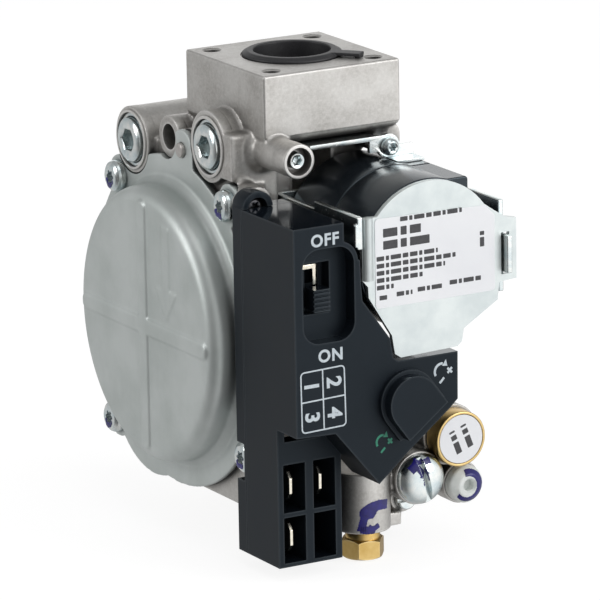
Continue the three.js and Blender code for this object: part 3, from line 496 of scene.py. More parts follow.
class Look:
    """A node material, in millimetres."""

    def __init__(self, name):
        self.material = bpy.data.materials.new(name)
        self.material.use_nodes = True
        self.tree = self.material.node_tree
        self.tree.nodes.clear()
        place = self.add("ShaderNodeTexCoord").outputs["Object"]
        self.place = self.stretched(place, (1 / MM,) * 3)

    def add(self, kind, *values, **more):
        return add_node(self.tree, kind, *values, **more)

    def stretched(self, place, scale):
        return self.add("ShaderNodeMapping", Vector=place, Scale=scale).outputs[0]

    def noise(self, per_mm, detail=4.0, rough=0.55, stretch=None):
        vector = self.stretched(self.place, stretch) if stretch else self.place
        node = self.add("ShaderNodeTexNoise", Vector=vector, Scale=per_mm, Detail=detail, Roughness=rough)
        return node.outputs["Fac"]

    def ramp(self, value, *stops):
        node = self.add("ShaderNodeValToRGB", Fac=value)
        for element, (where, colour) in zip(node.color_ramp.elements, stops):
            element.position = where
            element.color = (*colour, 1) if isinstance(colour, tuple) else (colour,) * 3 + (1,)
        return node.outputs["Color"]

    def math(self, operation, a, b):
        return self.add("ShaderNodeMath", a, b, settings={"operation": operation}).outputs[0]

    def spread(self, value, change, base):
        """From base, where the value is 0, to base + change, where it is 1."""
        return self.math("ADD", self.math("MULTIPLY", value, change), base)

    def blend(self, share, a, b):
        node = self.add("ShaderNodeMix", settings={"data_type": "RGBA"})
        for index, value in ((0, share), (6, a), (7, b)):
            feed(self.tree, node.inputs[index], value)
        return node.outputs[2]

    def tinted(self, colour, where, share, other):
        """The colour, moved by up to the share towards another, where the value is high."""
        return self.blend(self.math("MULTIPLY", where, share), colour, other)

    def occlusion(self, reach_mm, inside, full, none):
        settings = {"samples": 6, "inside": inside}
        node = self.add("ShaderNodeAmbientOcclusion", settings=settings, Distance=reach_mm * MM)
        return self.ramp(node.outputs["AO"], (full, 1.0), (none, 0.0))

    def edges(self, reach_mm):
        """1 along raised edges, 0 on flats and in hollows: where edges are lightened, as rubbed wear and as
        a painted highlight.
        """
        return self.occlusion(reach_mm, True, 0.55, 0.92)

    def crevices(self, reach_mm):
        """Where shade is painted: 1 deep in a crevice, 0 on open faces."""
        return self.occlusion(reach_mm, False, 0.35, 0.85)

    def facing_up(self, low, high):
        normal = self.add("ShaderNodeNewGeometry").outputs["Normal"]
        up = self.add("ShaderNodeSeparateXYZ", Vector=normal).outputs["Z"]
        return self.ramp(up, (low, 0.0), (high, 1.0))

    def bump(self, height, strength, depth_mm, **more):
        inputs = {"Height": height, "Strength": strength, "Distance": depth_mm * MM, **more}
        return self.add("ShaderNodeBump", **inputs).outputs["Normal"]

    def finish(self, **inputs):
        shader = self.add("ShaderNodeBsdfPrincipled", **inputs)
        self.add("ShaderNodeOutputMaterial", Surface=shader.outputs[0])
        return self.material


def cast_aluminium():
    look = Look("cast_aluminium")
    blotch = look.noise(0.11, 5)
    grain = look.noise(1.3, 6, 0.75)
    sand = look.noise(3.4, 4, 0.6)
    colour = look.ramp(blotch, (0.36, (0.39, 0.375, 0.355)), (0.64, (0.53, 0.52, 0.50)))
    speck = look.ramp(grain, (0.38, 0.0), (0.66, 0.5))
    colour = look.blend(speck, colour, (0.66, 0.65, 0.63))
    # Painted shade: darker deep in hollows and round the bosses.
    colour = look.tinted(colour, look.crevices(5.0), 0.85, (0.075, 0.070, 0.068))
    # Lighter raised edges: rubbed wear and a painted highlight.
    colour = look.tinted(colour, look.edges(0.7), 0.6, (0.85, 0.84, 0.82))
    rough = look.spread(sand, 0.24, 0.34)
    normal = look.bump(grain, 0.45, 0.08)
    normal = look.bump(sand, 0.40, 0.04, Normal=normal)
    return look.finish(Base_Color=colour, Metallic=0.9, Roughness=rough, Normal=normal)


def pressed_steel():
    look = Look("pressed_steel")
    blotch = look.noise(0.07, 4)
    grain = look.noise(2.2, 4)
    streak = look.noise(0.8, 3, 0.6, (1, 1, 0.12))
    colour = look.ramp(blotch, (0.35, (0.50, 0.54, 0.525)), (0.65, (0.60, 0.635, 0.625)))
    colour = look.tinted(colour, streak, 0.25, (0.66, 0.70, 0.69))
    # Painted shade: darker in hollows and corners, such as the foot of the dome's wall.
    colour = look.tinted(colour, look.crevices(6.0), 0.75, (0.06, 0.07, 0.075))
    rough = look.spread(grain, 0.14, 0.42)
    normal = look.bump(grain, 0.10, 0.03)
    return look.finish(Base_Color=colour, Metallic=0.85, Roughness=rough, Normal=normal)


def bright_zinc():
    look = Look("bright_zinc")
    tint = look.noise(0.35, 4)
    wear = look.noise(1.4, 5, 0.65)
    scratch = look.noise(2.4, 4, 0.7, (0.15, 1, 1))
    colour = look.ramp(tint, (0.36, (0.60, 0.68, 0.70)), (0.64, (0.80, 0.82, 0.80)))
    # Painted shade: darker in the small hollows.
    colour = look.tinted(colour, look.crevices(1.0), 0.5, (0.09, 0.11, 0.13))
    rough = look.spread(wear, 0.20, 0.14)
    normal = look.bump(scratch, 0.10, 0.03)
    return look.finish(Base_Color=colour, Metallic=1.0, Roughness=rough, Normal=normal)


def plate_zinc():
    look = Look("plate_zinc")
    cloud = look.noise(0.16, 5, 0.6)
    grain = look.noise(2.6, 3)
    colour = look.ramp(cloud, (0.35, (0.57, 0.62, 0.625)), (0.65, (0.67, 0.715, 0.71)))
    rough = look.spread(cloud, 0.16, 0.30)
    normal = look.bump(grain, 0.08, 0.02)
    return look.finish(Base_Color=colour, Metallic=0.80, Roughness=rough, Normal=normal)


def grained(name, low, high, noise, bump, stops=(0.3, 0.7), **more):
    """A surface with one grain, which gives both its colour and its bump."""
    look = Look(name)
    grain = look.noise(*noise)
    colour = look.ramp(grain, (stops[0], low), (stops[1], high))
    return look.finish(Base_Color=colour, Normal=look.bump(grain, *bump), **more)


def turned_steel(name, low, high):
    return grained(name, low, high, (1.8, 4), (0.12, 0.03), Metallic=0.95, Roughness=0.36)


def turned_brass():
    look = Look("turned_brass")
    lines = look.noise(1.2, 4, 0.6, (0.2, 0.2, 6))
    stain = look.noise(0.3, 4)
    colour = look.ramp(stain, (0.35, (0.52, 0.345, 0.11)), (0.65, (0.65, 0.46, 0.18)))
    # Lighter raised edges: rubbed wear and a painted highlight.
    colour = look.tinted(colour, look.edges(0.5), 0.6, (0.95, 0.78, 0.45))
    rough = look.spread(stain, 0.18, 0.22)
    normal = look.bump(lines, 0.10, 0.02)
    return look.finish(Base_Color=colour, Metallic=1.0, Roughness=rough, Normal=normal)


def copper_wire():
    turns = (1.0, 2, 0.5, (0.1, 8, 0.1))
    low, high = (0.38, 0.14, 0.06), (0.62, 0.28, 0.14)
    return grained("copper_wire", low, high, turns, (0.5, 0.06), (0.4, 0.6), Metallic=0.9, Roughness=0.35)


def tinned_contact():
    low, high = (0.66, 0.61, 0.50), (0.84, 0.80, 0.70)
    return grained("tinned_contact", low, high, (2.0, 3), (0.08, 0.02), Metallic=1.0, Roughness=0.26)


COOL = (0.76, 0.90, 1.0)  # black plastics reflect a little blue


def black_moulding():
    look = Look("black_moulding")
    skin = look.noise(5.0, 3)
    cloud = look.noise(0.12, 4)
    colour = look.ramp(cloud, (0.3, (0.0050, 0.0075, 0.0110)), (0.7, (0.0075, 0.0105, 0.0150)))
    # Painted highlight along raised edges, with some rubbed wear.
    colour = look.tinted(colour, look.edges(0.5), 0.6, (0.05, 0.058, 0.065))
    dull = look.spread(cloud, 0.12, 0.38)
    polished = look.facing_up(0.90, 0.99)
    rough = look.blend(polished, look.blend(dull, (0, 0, 0), (1, 1, 1)), (0.07, 0.07, 0.07))
    normal = look.bump(skin, 0.10, 0.012)
    gloss = look.spread(polished, 0.75, 0.21)
    return look.finish(
        Base_Color=colour,
        Roughness=rough,
        Normal=normal,
        Specular_IOR_Level=gloss,
        Specular_Tint=COOL,
    )


def black_resin():
    look = Look("black_resin")
    cloud = look.noise(0.10, 4)
    skin = look.noise(0.5, 2)
    colour = look.ramp(cloud, (0.3, (0.0080, 0.0105, 0.0140)), (0.7, (0.0120, 0.0150, 0.0190)))
    rough = look.spread(skin, 0.06, 0.19)
    normal = look.bump(skin, 0.02, 0.01)
    return look.finish(
        Base_Color=colour,
        Roughness=rough,
        Normal=normal,
        Specular_IOR_Level=0.65,
        Specular_Tint=COOL,
    )


def black_rubber():
    low, high = (0.012, 0.012, 0.014), (0.024, 0.024, 0.027)
    return grained("black_rubber", low, high, (2.5, 4), (0.15, 0.03), Roughness=0.5)


def plain(name, low, high, rough, per_mm=0.6, depth=0.02):
    """A slightly uneven surface of one colour: plastic, film, paint or print."""
    look = Look(name)
    cloud = look.noise(per_mm, 4)
    colour = look.ramp(cloud, (0.3, low), (0.7, high))
    varied = look.spread(cloud, 0.12, rough - 0.06)
    normal = look.bump(cloud, 0.15, depth)
    return look.finish(Base_Color=colour, Roughness=varied, Normal=normal)


LOOKS = {  # by the record's material slots
    "cast_body": cast_aluminium(),
    "pressed_cover": pressed_steel(),
    "zinc_hardware": bright_zinc(),
    "steel": turned_steel("turned_steel", (0.42, 0.40, 0.38), (0.56, 0.54, 0.52)),
    "brass": turned_brass(),
    "copper": copper_wire(),
    "nickel": tinned_contact(),
    "black_plastic": black_moulding(),
    "black_resin": black_resin(),
    "rubber": black_rubber(),
    "white_plastic": plain("white_plastic", (0.66, 0.70, 0.68), (0.78, 0.80, 0.78), 0.34),
    "label_film": plain("label_film", (0.78, 0.79, 0.82), (0.84, 0.85, 0.87), 0.42, 0.05, 0.01),
    "white_print": plain("white_print", (0.46, 0.52, 0.57), (0.60, 0.66, 0.70), 0.5, 1.5),
    "green_paint": plain("green_paint", (0.008, 0.15, 0.09), (0.02, 0.26, 0.16), 0.45, 1.2),
    "blue_paint": plain("blue_paint", (0.008, 0.005, 0.095), (0.016, 0.012, 0.19), 0.30, 0.7, 0.05),
}
PLATE = plate_zinc()
# Painted shade: steel coloured dark for the screw that sits in a dark hole.
SHADED_SCREW_STEEL = turned_steel("steel_painted_in_shade", (0.045, 0.045, 0.05), (0.09, 0.09, 0.095))
INK = plain("dark_ink", (0.030, 0.030, 0.034), (0.055, 0.055, 0.06), 0.5, 1.5)

# ---- driving dimensions

FACE = -44.2  # front of the switch cover, which is printed on
LEFT_FACE = span("diaphragm_cover")[0].x + 8.2  # plane of the diaphragm cover's rim
BOLT = {"x": 12.8, "y": 13.2, "r": 1.9, "deep": 11}
PORT_R = 9.1
TAP_HOLE = (18.4, -19.5)  # (y, z) of the open hole between the two pipe plugs
SCREWS = ("cover_screw_ul", "cover_screw_ur", "cover_screw_ll", "cover_screw_lr")
PLUG_R = {"bore": 5.2, "seat": 6.2}
FLANGE = (17.16, 17.46)  # half width and half depth of the flange block
SEAL_SEAT = {"r": 11.4, "deep": 0.25}
PRINT_HIGH = 0.04


# ---- valve body


# Fine cylinders that round off the casting's bosses: axis, place, radius, from, to.
BOSSES = (
    ("x", "left_pipe_plug", 7.5, LEFT_FACE, 6),
    ("x", "right_pipe_plug", 8, LEFT_FACE, -6),
    ("x", TAP_HOLE, 4.7, LEFT_FACE + 1, -4),
    ("y", "inlet_tap_screw", 3.8, -27, -6),
    ("y", "regulator_cap", 6, -33, -4),
    ("y", "gas_cap", 6.9, -31, -4),
    ("y", "outlet_tap_plug", 4.7, -31, -4),
    ("y", "pilot_adjuster", 3.2, -19, -4),
    ("z", "pilot_nut", 6.2, -101.5, -88),
    ("z", (0, 0), 13.5, -106.5, -92),
)
# The holes in the casting, in the same way.
BORES = (
    ("x", "left_pipe_plug", PLUG_R["bore"], LEFT_FACE - 1, LEFT_FACE + 8),
    ("x", "left_pipe_plug", PLUG_R["seat"], LEFT_FACE - 1, LEFT_FACE + 1),
    ("x", "right_pipe_plug", PLUG_R["bore"], LEFT_FACE - 1, LEFT_FACE + 8),
    ("x", "right_pipe_plug", PLUG_R["seat"], LEFT_FACE - 1, LEFT_FACE + 1),
    ("x", TAP_HOLE, 2.9, LEFT_FACE - 1, -9),
    ("y", "inlet_tap_screw", 3.1, -28, -24),
    ("y", "inlet_tap_screw", 1.9, -25, -13),
    ("y", "regulator_cap", 4.6, -34, -14),
    ("y", "gas_cap", 4.2, -32, -22),
    ("y", "outlet_tap_plug", 2.7, -32, -22),
    ("y", "pilot_adjuster", 1.5, -20, -12),
    ("z", "pilot_nut", 3.8, -103, -92),
    ("z", (0, 0), PORT_R, -108, -86),
    ("z", (0, 0), PORT_R, -24, 1),
    ("z", (0, 0), SEAL_SEAT["r"], -SEAL_SEAT["deep"], 1),
)
TURNED = {"x": 2.5, "y": 5}  # how much of a boss is turned


def bores():
    holes = [bar(f"bore_{i}", *row) for i, row in enumerate(BORES)]
    profile = [(BOLT["r"], -BOLT["deep"]), (BOLT["r"], -0.35), (BOLT["r"] + 0.6, 0.25)]
    for sx in (-1, 1):
        for sy in (-1, 1):
            holes.append(lathe("bolt_hole", "z", (sx * BOLT["x"], sy * BOLT["y"]), profile, 48))
    return holes


def machined():
    """What is crisp on the casting: the flange block and the turned ends of its bosses."""
    half, deep = FLANGE
    solids = [gridded(box("flange", (-half, -deep, -14.2), (half, deep, 0), 0.55), 1.9)]
    for i, (axis, place, radius, lo, hi) in enumerate(BOSSES):
        end = lo + TURNED[axis] if axis in TURNED else hi
        solids.append(bar(f"end_{i}", axis, place, radius + 0.06, lo, end, 0.3))
    for node, radius in (("left_pipe_plug", 6.75), ("right_pipe_plug", 6.9)):
        solids.append(bar("lip", "x", node, radius, LEFT_FACE - 0.4, LEFT_FACE + 2, 0.15))
    return solids


def body_casting():
    parts = [from_cad("cast_core", "valve_body")]
    parts += [bar(f"boss_{i}", *row) for i, row in enumerate(BOSSES)]
    skin = melt("body_casting", parts, 0.45, 3)
    cut(skin, box("top", (-20, -20, -1.2), (20, 20, 3)))
    add(skin, *machined())
    cut(skin, *bores())
    return piece(skin, "cast_body", ["valve_body"])


# ---- diaphragm cover

DOME = {"y": 16.2, "z": -61, "wall": 30.9, "base": 33.1, "sheet": 1.4}
DOME_FACE = LEFT_FACE - 7.7
COVER_BACK = LEFT_FACE + DOME["sheet"]


def arrow_outline():
    """A broad arrow pointing down, in (y, z)."""
    y, top, neck, tip = 5.4, -36.5, -51.0, -57.6
    half, head = 1.5, 4.6
    return [
        (y - half, top),
        (y + half, top),
        (y + half, neck),
        (y + head, neck),
        (y, tip),
        (y - head, neck),
        (y - half, neck),
    ]


def dome_outside():
    face, wall, base = DOME_FACE, DOME["wall"], DOME["base"]
    profile = [(0, face), (wall, face, 3.8), (wall + 0.5, LEFT_FACE - 1.4, 1.6), (base, LEFT_FACE + 0.1)]
    skin = soften(profile, 0, 10, closed=False)[1:]
    place = (DOME["y"], DOME["z"])
    return lathe("dome", "x", place, [(0.5, face)] + skin + [(base, COVER_BACK)], 160)


def dome_inside():
    face, sheet = DOME_FACE + DOME["sheet"], DOME["sheet"]
    wall, base = DOME["wall"], DOME["base"]
    profile = [(0, face), (wall - sheet, face, 2.4), (wall - 1, LEFT_FACE), (base - sheet, COVER_BACK + 1)]
    skin = soften(profile, 0, 6, closed=False)[1:]
    return lathe("inside", "x", (DOME["y"], DOME["z"]), [(0.5, face)] + skin, 96)


def cover_rim():
    """The flat rim with an ear for each screw and for the locating pin."""
    discs = [((DOME["y"], DOME["z"]), 37.6, 160), ((27.5, -79.3), 20, ROUND)]
    discs += [(node, 4.8, ROUND) for node in SCREWS] + [("locating_pin", 4.6, ROUND)]
    rim = [bar("rim", "x", place, r, LEFT_FACE, COVER_BACK, segments=count) for place, r, count in discs]
    y, z = across("x", "locating_pin")
    neck = box_outline(y - 4.6, y + 4.6, z - 8, z)
    return rim + [prism("pin_neck", "x", neck, LEFT_FACE, COVER_BACK)]


def cover_pressing():
    y, z = DOME["y"], DOME["z"]
    long, wide, high = 28.6, 1.7, 0.5
    raised = [dome_outside()]
    for u, v in ((wide, long), (long, wide)):
        outline = box_outline(y - u, y + u, z - v, z + v, 1.5)
        raised.append(prism("rib", "x", outline, DOME_FACE - high, DOME_FACE + 1))
    raised.append(prism("arrow", "x", arrow_outline(), DOME_FACE - 0.3, DOME_FACE + 1))
    skin = melt("cover_pressing", cover_rim() + raised, 0.32, 5)
    front, back = LEFT_FACE - 1, COVER_BACK + 1
    cutters = [dome_inside()]
    for node, radius in [(node, 2.1) for node in SCREWS] + [("locating_pin", 1.8)]:
        cutters.append(bar("hole", "x", node, radius, front, back, segments=32))
    for place, radius in (("left_pipe_plug", 7.8), ("right_pipe_plug", 8.3), (TAP_HOLE, 4.9)):
        cutters.append(bar("room", "x", place, radius, front, back))
    cutters.append(box("clip", (LEFT_FACE - 4, -40, -83), (back, -17.4, -20)))
    cut(skin, *cutters)
    return piece(skin, "pressed_cover", ["diaphragm_cover"])


def pan_screw(name, node, axis, head_r, head_h, shank_r, drive_r):
    """A pan-head screw with a six-lobed drive. Its head is at the low end of its axis."""
    lo, hi = span(node)
    index = "xyz".index(axis)
    crown = [(drive_r + 0.25, 0), (head_r * 0.72, 0.12), (head_r * 0.92, 0.62), (head_r, 1.25)]
    profile = [(drive_r * 0.9, 1.5, star_form), (drive_r, 1.3, star_form), (drive_r, 0.12, star_form)]
    profile += soften(crown + [(head_r, head_h)], 0.5, 4, closed=False)
    profile += [(shank_r, head_h), (shank_r, hi[index] - lo[index])]
    return lathe(name, axis, node, [(r, lo[index] + h, *form) for r, h, *form in profile])


def cover_screws():
    screws = [pan_screw(f"{node}_torx", node, "x", 3.6, 2.5, 1.7, 1.55) for node in SCREWS]
    return [piece(screw, "zinc_hardware", [node]) for screw, node in zip(screws, SCREWS)]


def pipe_plug(side):
    node, washer_node = f"{side}_pipe_plug", f"{side}_plug_washer"
    lo, hi = span(node)
    face = lo.x
    radius, hexagon = 5.1, 2.77
    profile = [(hexagon * 0.55, face + 4.4)]
    profile += [(hexagon, face + 3.9, hex_form), (hexagon, face + 0.35, hex_form), (hexagon + 0.35, face)]
    profile += [(radius - 0.75, face), (radius - 0.1, face + 0.5), (radius, face + 0.9), (radius, hi.x)]
    piece(lathe(f"{side}_hex_plug", "x", node, profile), "zinc_hardware", [node])
    lo, hi = span(washer_node)
    inner, outer = radius + 0.16, (hi.y - lo.y) / 2
    section = soften([(inner, lo.x), (outer, lo.x), (outer, hi.x), (inner, hi.x)], 0.18, 3)
    washer = lathe(f"{side}_seal_washer", "x", node, section, closed=True)
    piece(washer, "zinc_hardware", [washer_node])


def locating_pin():
    lo, hi = span("locating_pin")
    pin = bar("cover_pin", "x", "locating_pin", (hi.y - lo.y) / 2, lo.x, hi.x, 0.35)
    piece(pin, "steel", ["locating_pin"])


# ---- inlet seal


def inlet_seal():
    lo, hi = span("inlet_seal_ring")
    foot, high = 0.1 - SEAL_SEAT["deep"], hi.z
    inner, sleeve, lip, outer = 8.55, 9.0, 9.9, 11.1
    section = [(inner, lo.z), (sleeve, lo.z), (sleeve, foot), (outer, foot), (outer, 0.45)]
    section += [(lip, high), (inner, high)]
    ring = lathe("seal", "z", (0, 0), soften(section, 0.22, 4), closed=True)
    turn = Matrix.Rotation(math.radians(-49), 4, "Z")
    strip = prism("strip", "z", box_outline(9.2, 16, -1.8, 1.8, 1.0), 0.45, high)
    lug = prism("lug", "x", soften(arc(0, high, 1.7, 180, 360, 20), 0), 15, 16.2)
    for part in (strip, lug):
        part.data.transform(turn)
    piece(melt("inlet_seal", [ring, strip, lug], 0.16, 2), "rubber", ["inlet_seal_ring"])


# ---- coils


def coil_outline():
    """A circle whose upper right corner is filled out by the connector box."""
    x, z = middle("core_tube").x, middle("core_tube").z
    r, right, top = 17.2, 19.4, -22
    start = math.degrees(math.atan2(math.sqrt(r * r - (right - x) ** 2), right - x))
    end = math.degrees(math.atan2(top - z, math.sqrt(r * r - (top - z) ** 2)))
    lower = arc(x, z, r, end, 360 + start, 110)
    return lower + soften([lower[-1], (right, top, 0.8), lower[0]], 0.8, 6, closed=False)[1:-1]


def coil_shells():
    for node, name in (("rear_coil_shell", "rear_coil_jacket"), ("front_coil_shell", "front_coil_jacket")):
        lo, hi = span(node)
        shell = prism(name, "y", coil_outline(), lo.y, hi.y, 0.35, 4)
        cut(shell, bar("hole", "y", "core_tube", 5.1, lo.y - 1, hi.y + 1))
        piece(shell, "black_resin", [node])


def coil_metalwork():
    rounded("magnet_frame", "coil_frame", 0.35, 3, "zinc_hardware")
    rounded("coil_clamp_strap", "coil_strap", 0.3, 3, "zinc_hardware")
    rounded("label_plate", "front_plate", 0.3, 3, "zinc_hardware", look=PLATE)
    screw = pan_screw("strap_torx", "strap_screw", "y", 2.0, 1.8, 1.4, 0.95)
    piece(screw, "zinc_hardware", ["strap_screw"])


def label():
    lo, hi = span("rating_label")
    outline = [(lo.x, lo.z), (hi.x, lo.z), (hi.x, -31), (22.4, -28.6), (lo.x, hi.z)]
    film = prism("label_sheet", "y", soften(outline, 0.8, 5), lo.y, hi.y, 0.03, 2)
    piece(film, "label_film", ["rating_label"])
    piece(join("label_greeking", label_bars(lo.y)), "black_plastic", look=INK)


def label_bars(face):
    """Plain bars where a rating label has its lines of text: left, bottom, length, height."""
    rows = [
        (1.0, -29.3, 15.6, 1.0),
        (-3.3, -32.3, 9.5, 1.9),
        (-3.3, -35.0, 13.0, 1.9),
        (-5.0, -37.4, 15.4, 1.0),
        (-5.0, -39.0, 19.9, 1.0),
        (-5.0, -40.6, 17.2, 1.0),
        (-5.0, -42.2, 11.5, 1.0),
        (-5.0, -43.8, 4.2, 1.0),
        (-4.4, -46.1, 2.1, 1.0),
        (-0.1, -45.8, 4.0, 1.0),
        (5.2, -45.5, 6.8, 1.0),
        (13.3, -45.1, 8.3, 1.0),
    ]
    lines = [word_bars((left, bottom), 0, long, high, face) for left, bottom, long, high in rows]
    return sum(lines, []) + word_bars((22.2, -37.7), 90, 3.8, 1.1, face)


def word_bars(start, turn, long, high, face):
    """Bars of unequal length along a line from its lower left corner, at an angle."""
    tilt = Matrix.Rotation(math.radians(turn), 2)
    bars = []
    done = 0
    index = 0
    while done < long - 0.3 * high:
        word = min((1.9, 0.8, 2.6, 1.4)[index % 4] * high, long - done)
        outline = box_outline(done, done + word, 0, high, 0.12, 2)
        outline = [tuple(Vector(start) + tilt @ Vector(point)) for point in outline]
        bars.append(prism("word", "y", outline, face - 0.02, face + 0.02))
        done += word + 0.42 * high
        index += 1
    return bars


# ---- switch housing

def switch_parts():
    rounded("switch_cover_moulding", "switch_cover", 0.32, 3, "black_plastic")
    rounded("switch_case_moulding", "switch_case", 0.3, 2, "black_plastic")
    rounded("slider_thumb", "switch_slider", 0.15, 2, "black_plastic", "switch_slider")
    rounded("slide_switch", "switch_body", 0.15, 2, "black_plastic")
    rounded("contact_strip", "switch_contact", 0.08, 2, "nickel")
    rounded("blade_carrier", "terminal_block", 0.2, 2, "black_plastic")
    screw = pan_screw("housing_torx", "housing_screw", "y", 2.2, 1.7, 1.3, 1.0)
    # The housing screw is coloured dark as painted shade of the hole it sits in.
    piece(screw, "steel", ["housing_screw"], look=SHADED_SCREW_STEEL)


def blades():
    for number in (1, 2, 3):
        node = f"terminal_blade_{number}"
        lo, hi = span(node)
        outline = [(lo.y, lo.z + 1.5), (lo.y + 1.2, lo.z), (hi.y, lo.z), (hi.y, hi.z), (lo.y + 1.2, hi.z)]
        outline.append((lo.y, hi.z - 1.5))
        blade = prism(f"quick_blade_{number}", "x", soften(outline, 0.3, 4), lo.x, hi.x, 0.15)
        hole = bar("hole", "x", (lo.y + 3.6, (lo.z + hi.z) / 2), 0.8, lo.x - 1, hi.x + 1, segments=32)
        piece(cut(blade, hole), "nickel", [node])


# ---- fittings


def regulator_cap():
    lo, hi = span("regulator_cap")
    at = middle("regulator_cap")
    r = (hi.x - lo.x) / 2
    front, base = lo.y, -33.1
    edge = base - 0.6
    turns = [math.pi / 2 * k / 16 for k in range(1, 17)]
    crown = [(r * math.sin(t), edge - (edge - front) * math.cos(t)) for t in turns]
    profile = [(0.3, front)] + crown + [(r, base), (4.4, base), (4.4, hi.y)]
    cap = lathe("regulator_dome_cap", "y", "regulator_cap", profile)
    slot = prism("slot", "y", box_outline(-0.75, 0.75, -8, 8), front - 2, front + 1.9)
    slot.data.transform(Matrix.Translation((at.x, 0, at.z)) @ Matrix.Rotation(math.radians(-14), 4, "Y"))
    return piece(cut(cap, slot), "zinc_hardware", ["regulator_cap"])


GREEK_TURN = 111  # the way the disc's two words happen to read


def gas_cap():
    lo, hi = span("gas_cap")
    at = middle("gas_cap")
    r = (hi.x - lo.x) / 2
    face = lo.y
    points = [(0.3, face + 0.4), (r - 0.7, face + 0.4, 0.1), (r - 0.6, face, 0.15), (r, face, 0.4)]
    points += [(r, -31.1, 0.2), (4, -31.1), (4, hi.y)]
    cap = lathe("gas_selector_cap", "y", "gas_cap", soften(points, 0, 4, closed=False))
    piece(cap, "brass", ["gas_cap"])
    lo, hi = span("gas_cap_disc")
    disc = bar("selector_disc", "y", "gas_cap", (hi.x - lo.x) / 2, lo.y, hi.y, 0.06)
    piece(disc, "label_film", ["gas_cap_disc"])
    tilt = math.radians(GREEK_TURN)
    along = Vector((math.cos(tilt), math.sin(tilt)))
    above = Vector((-along.y, along.x))
    bars = []
    for row in (0.8, -2.3):
        start = Vector((at.x, at.z)) + above * row - along * 2.8
        bars += word_bars(start, GREEK_TURN, 5.6, 1.45, lo.y)
    piece(join("disc_greeking", bars), "black_plastic", look=INK)


def outlet_plug():
    lo, hi = span("outlet_tap_plug")
    r = (hi.x - lo.x) / 2
    face = lo.y
    points = [(0.4, face + 2.4), (1.3, face + 2.2), (1.3, face + 0.5), (1.7, face)]
    points += [(r * 0.62, face, 0.8), (r, face + 1.5, 1.2), (r, -31.1), (2.5, -31.1), (2.5, hi.y)]
    plug = lathe("outlet_test_plug", "y", "outlet_tap_plug", soften(points, 0, 6, closed=False))
    return piece(plug, "white_plastic", ["outlet_tap_plug"], "outlet_tap_plug")


def slotted_screw():
    lo, hi = span("pilot_adjuster")
    at = middle("pilot_adjuster")
    points = [(0.3, lo.y), ((hi.x - lo.x) / 2, lo.y, 0.5), ((hi.x - lo.x) / 2, -19.1, 0.1)]
    points += [(1.4, -19.1), (1.4, hi.y)]
    screw = lathe("pilot_flow_screw", "y", "pilot_adjuster", soften(points, 0, 4, closed=False))
    slot = box("slot", (at.x - 4, lo.y - 1, at.z - 0.4), (at.x + 4, lo.y + 0.8, at.z + 0.4))
    piece(cut(screw, slot), "zinc_hardware", ["pilot_adjuster"], "pilot_adjuster")


def tap_screw():
    lo, hi = span("inlet_tap_screw")
    profile = [(0.6, lo.y + 2.0), (1.15, lo.y + 1.7, hex_form), (1.15, lo.y + 0.15, hex_form)]
    profile += [(1.35, lo.y), (1.65, lo.y), (1.8, lo.y + 0.2), (1.8, hi.y)]
    screw = lathe("inlet_test_screw", "y", "inlet_tap_screw", profile)
    piece(screw, "zinc_hardware", ["inlet_tap_screw"], "inlet_tap_screw")


NUT_TURN = -11  # the way the nut happens to be tightened


def brass_nut():
    node = "pilot_nut"
    lo, hi = span(node)
    at = middle(node)
    corner = (hi.x - lo.x) / 2
    flat = corner * math.cos(math.pi / 6)
    top, bore = -101.6, 3.6
    collar = top - 2.1
    hexagon = arc(at.x, at.y, corner, NUT_TURN, NUT_TURN + 300, 5)
    nut = prism("pilot_brass_nut", "z", soften(hexagon, 0.15, 2), lo.z, collar)
    rim = corner + 0.1
    cone = [(flat, lo.z), (rim, lo.z + 0.55), (rim, collar - 0.55), (flat, collar)]
    combine(nut, [lathe("cone", "z", node, cone)], "INTERSECT")
    neck = [(bore, collar - 0.5), (flat * 0.9, collar - 0.4), (flat * 0.9, top - 0.2), (flat * 0.87, top)]
    add(nut, lathe("neck", "z", node, neck + [(bore, top), (bore, hi.z)]))
    cut(nut, bar("bore", "z", node, 2.1, lo.z - 1, hi.z + 1))
    piece(nut, "brass", [node])


# ---- springs


def springs():
    """The springs inside, rebuilt from their CAD meshes."""
    for joint in frame["record"]["behaviour"]["joints"]:
        for entry in joint.get("deforming_nodes", []):
            node = entry["node"]
            mode, axis = entry["mode"].split("_")
            if mode != "scale":
                continue
            lo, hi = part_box(node)
            index = "xyz".index(axis)
            along = Vector((0, 0, 0))
            along[index] = 1
            anchor = (lo + hi) / 2
            anchor[index] = entry[f"fixed_end_{axis}_m"]
            wire = piece(from_cad(f"{node}_wire", node), "steel", [node])
            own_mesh(wire)


# ---- print and paint


def middle_of(places):
    return (max(places) + min(places)) / 2


def letters(name, text, centre, height, turn=0.0):
    """Generic letters or figures on the switch cover's face, centred on (x, z)."""
    curve = bpy.data.curves.new(name, "FONT")
    curve.body = text
    curve.size = 1
    curve.offset = 0.03
    curve.space_character = 1.12
    curve.resolution_u = 6
    curve.extrude = 0.5
    font = linked(name, curve)
    bpy.context.view_layer.update()
    mesh = bpy.data.meshes.new_from_object(font.evaluated_get(bpy.context.evaluated_depsgraph_get()))
    bpy.data.objects.remove(font)
    xs = [v.co.x for v in mesh.vertices]
    ys = [v.co.y for v in mesh.vertices]
    scale = height / (max(ys) - min(ys))
    shift = Matrix.Translation((-middle_of(xs), -middle_of(ys), 0))
    size = Matrix.Diagonal((scale, scale, PRINT_HIGH * 2, 1))
    upright = Matrix.Rotation(math.pi / 2, 4, "X")
    place = Matrix.Translation((centre[0], FACE, centre[1])) @ Matrix.Rotation(-math.radians(turn), 4, "Y")
    mesh.transform(place @ upright @ size @ shift)
    return linked(name, mesh)


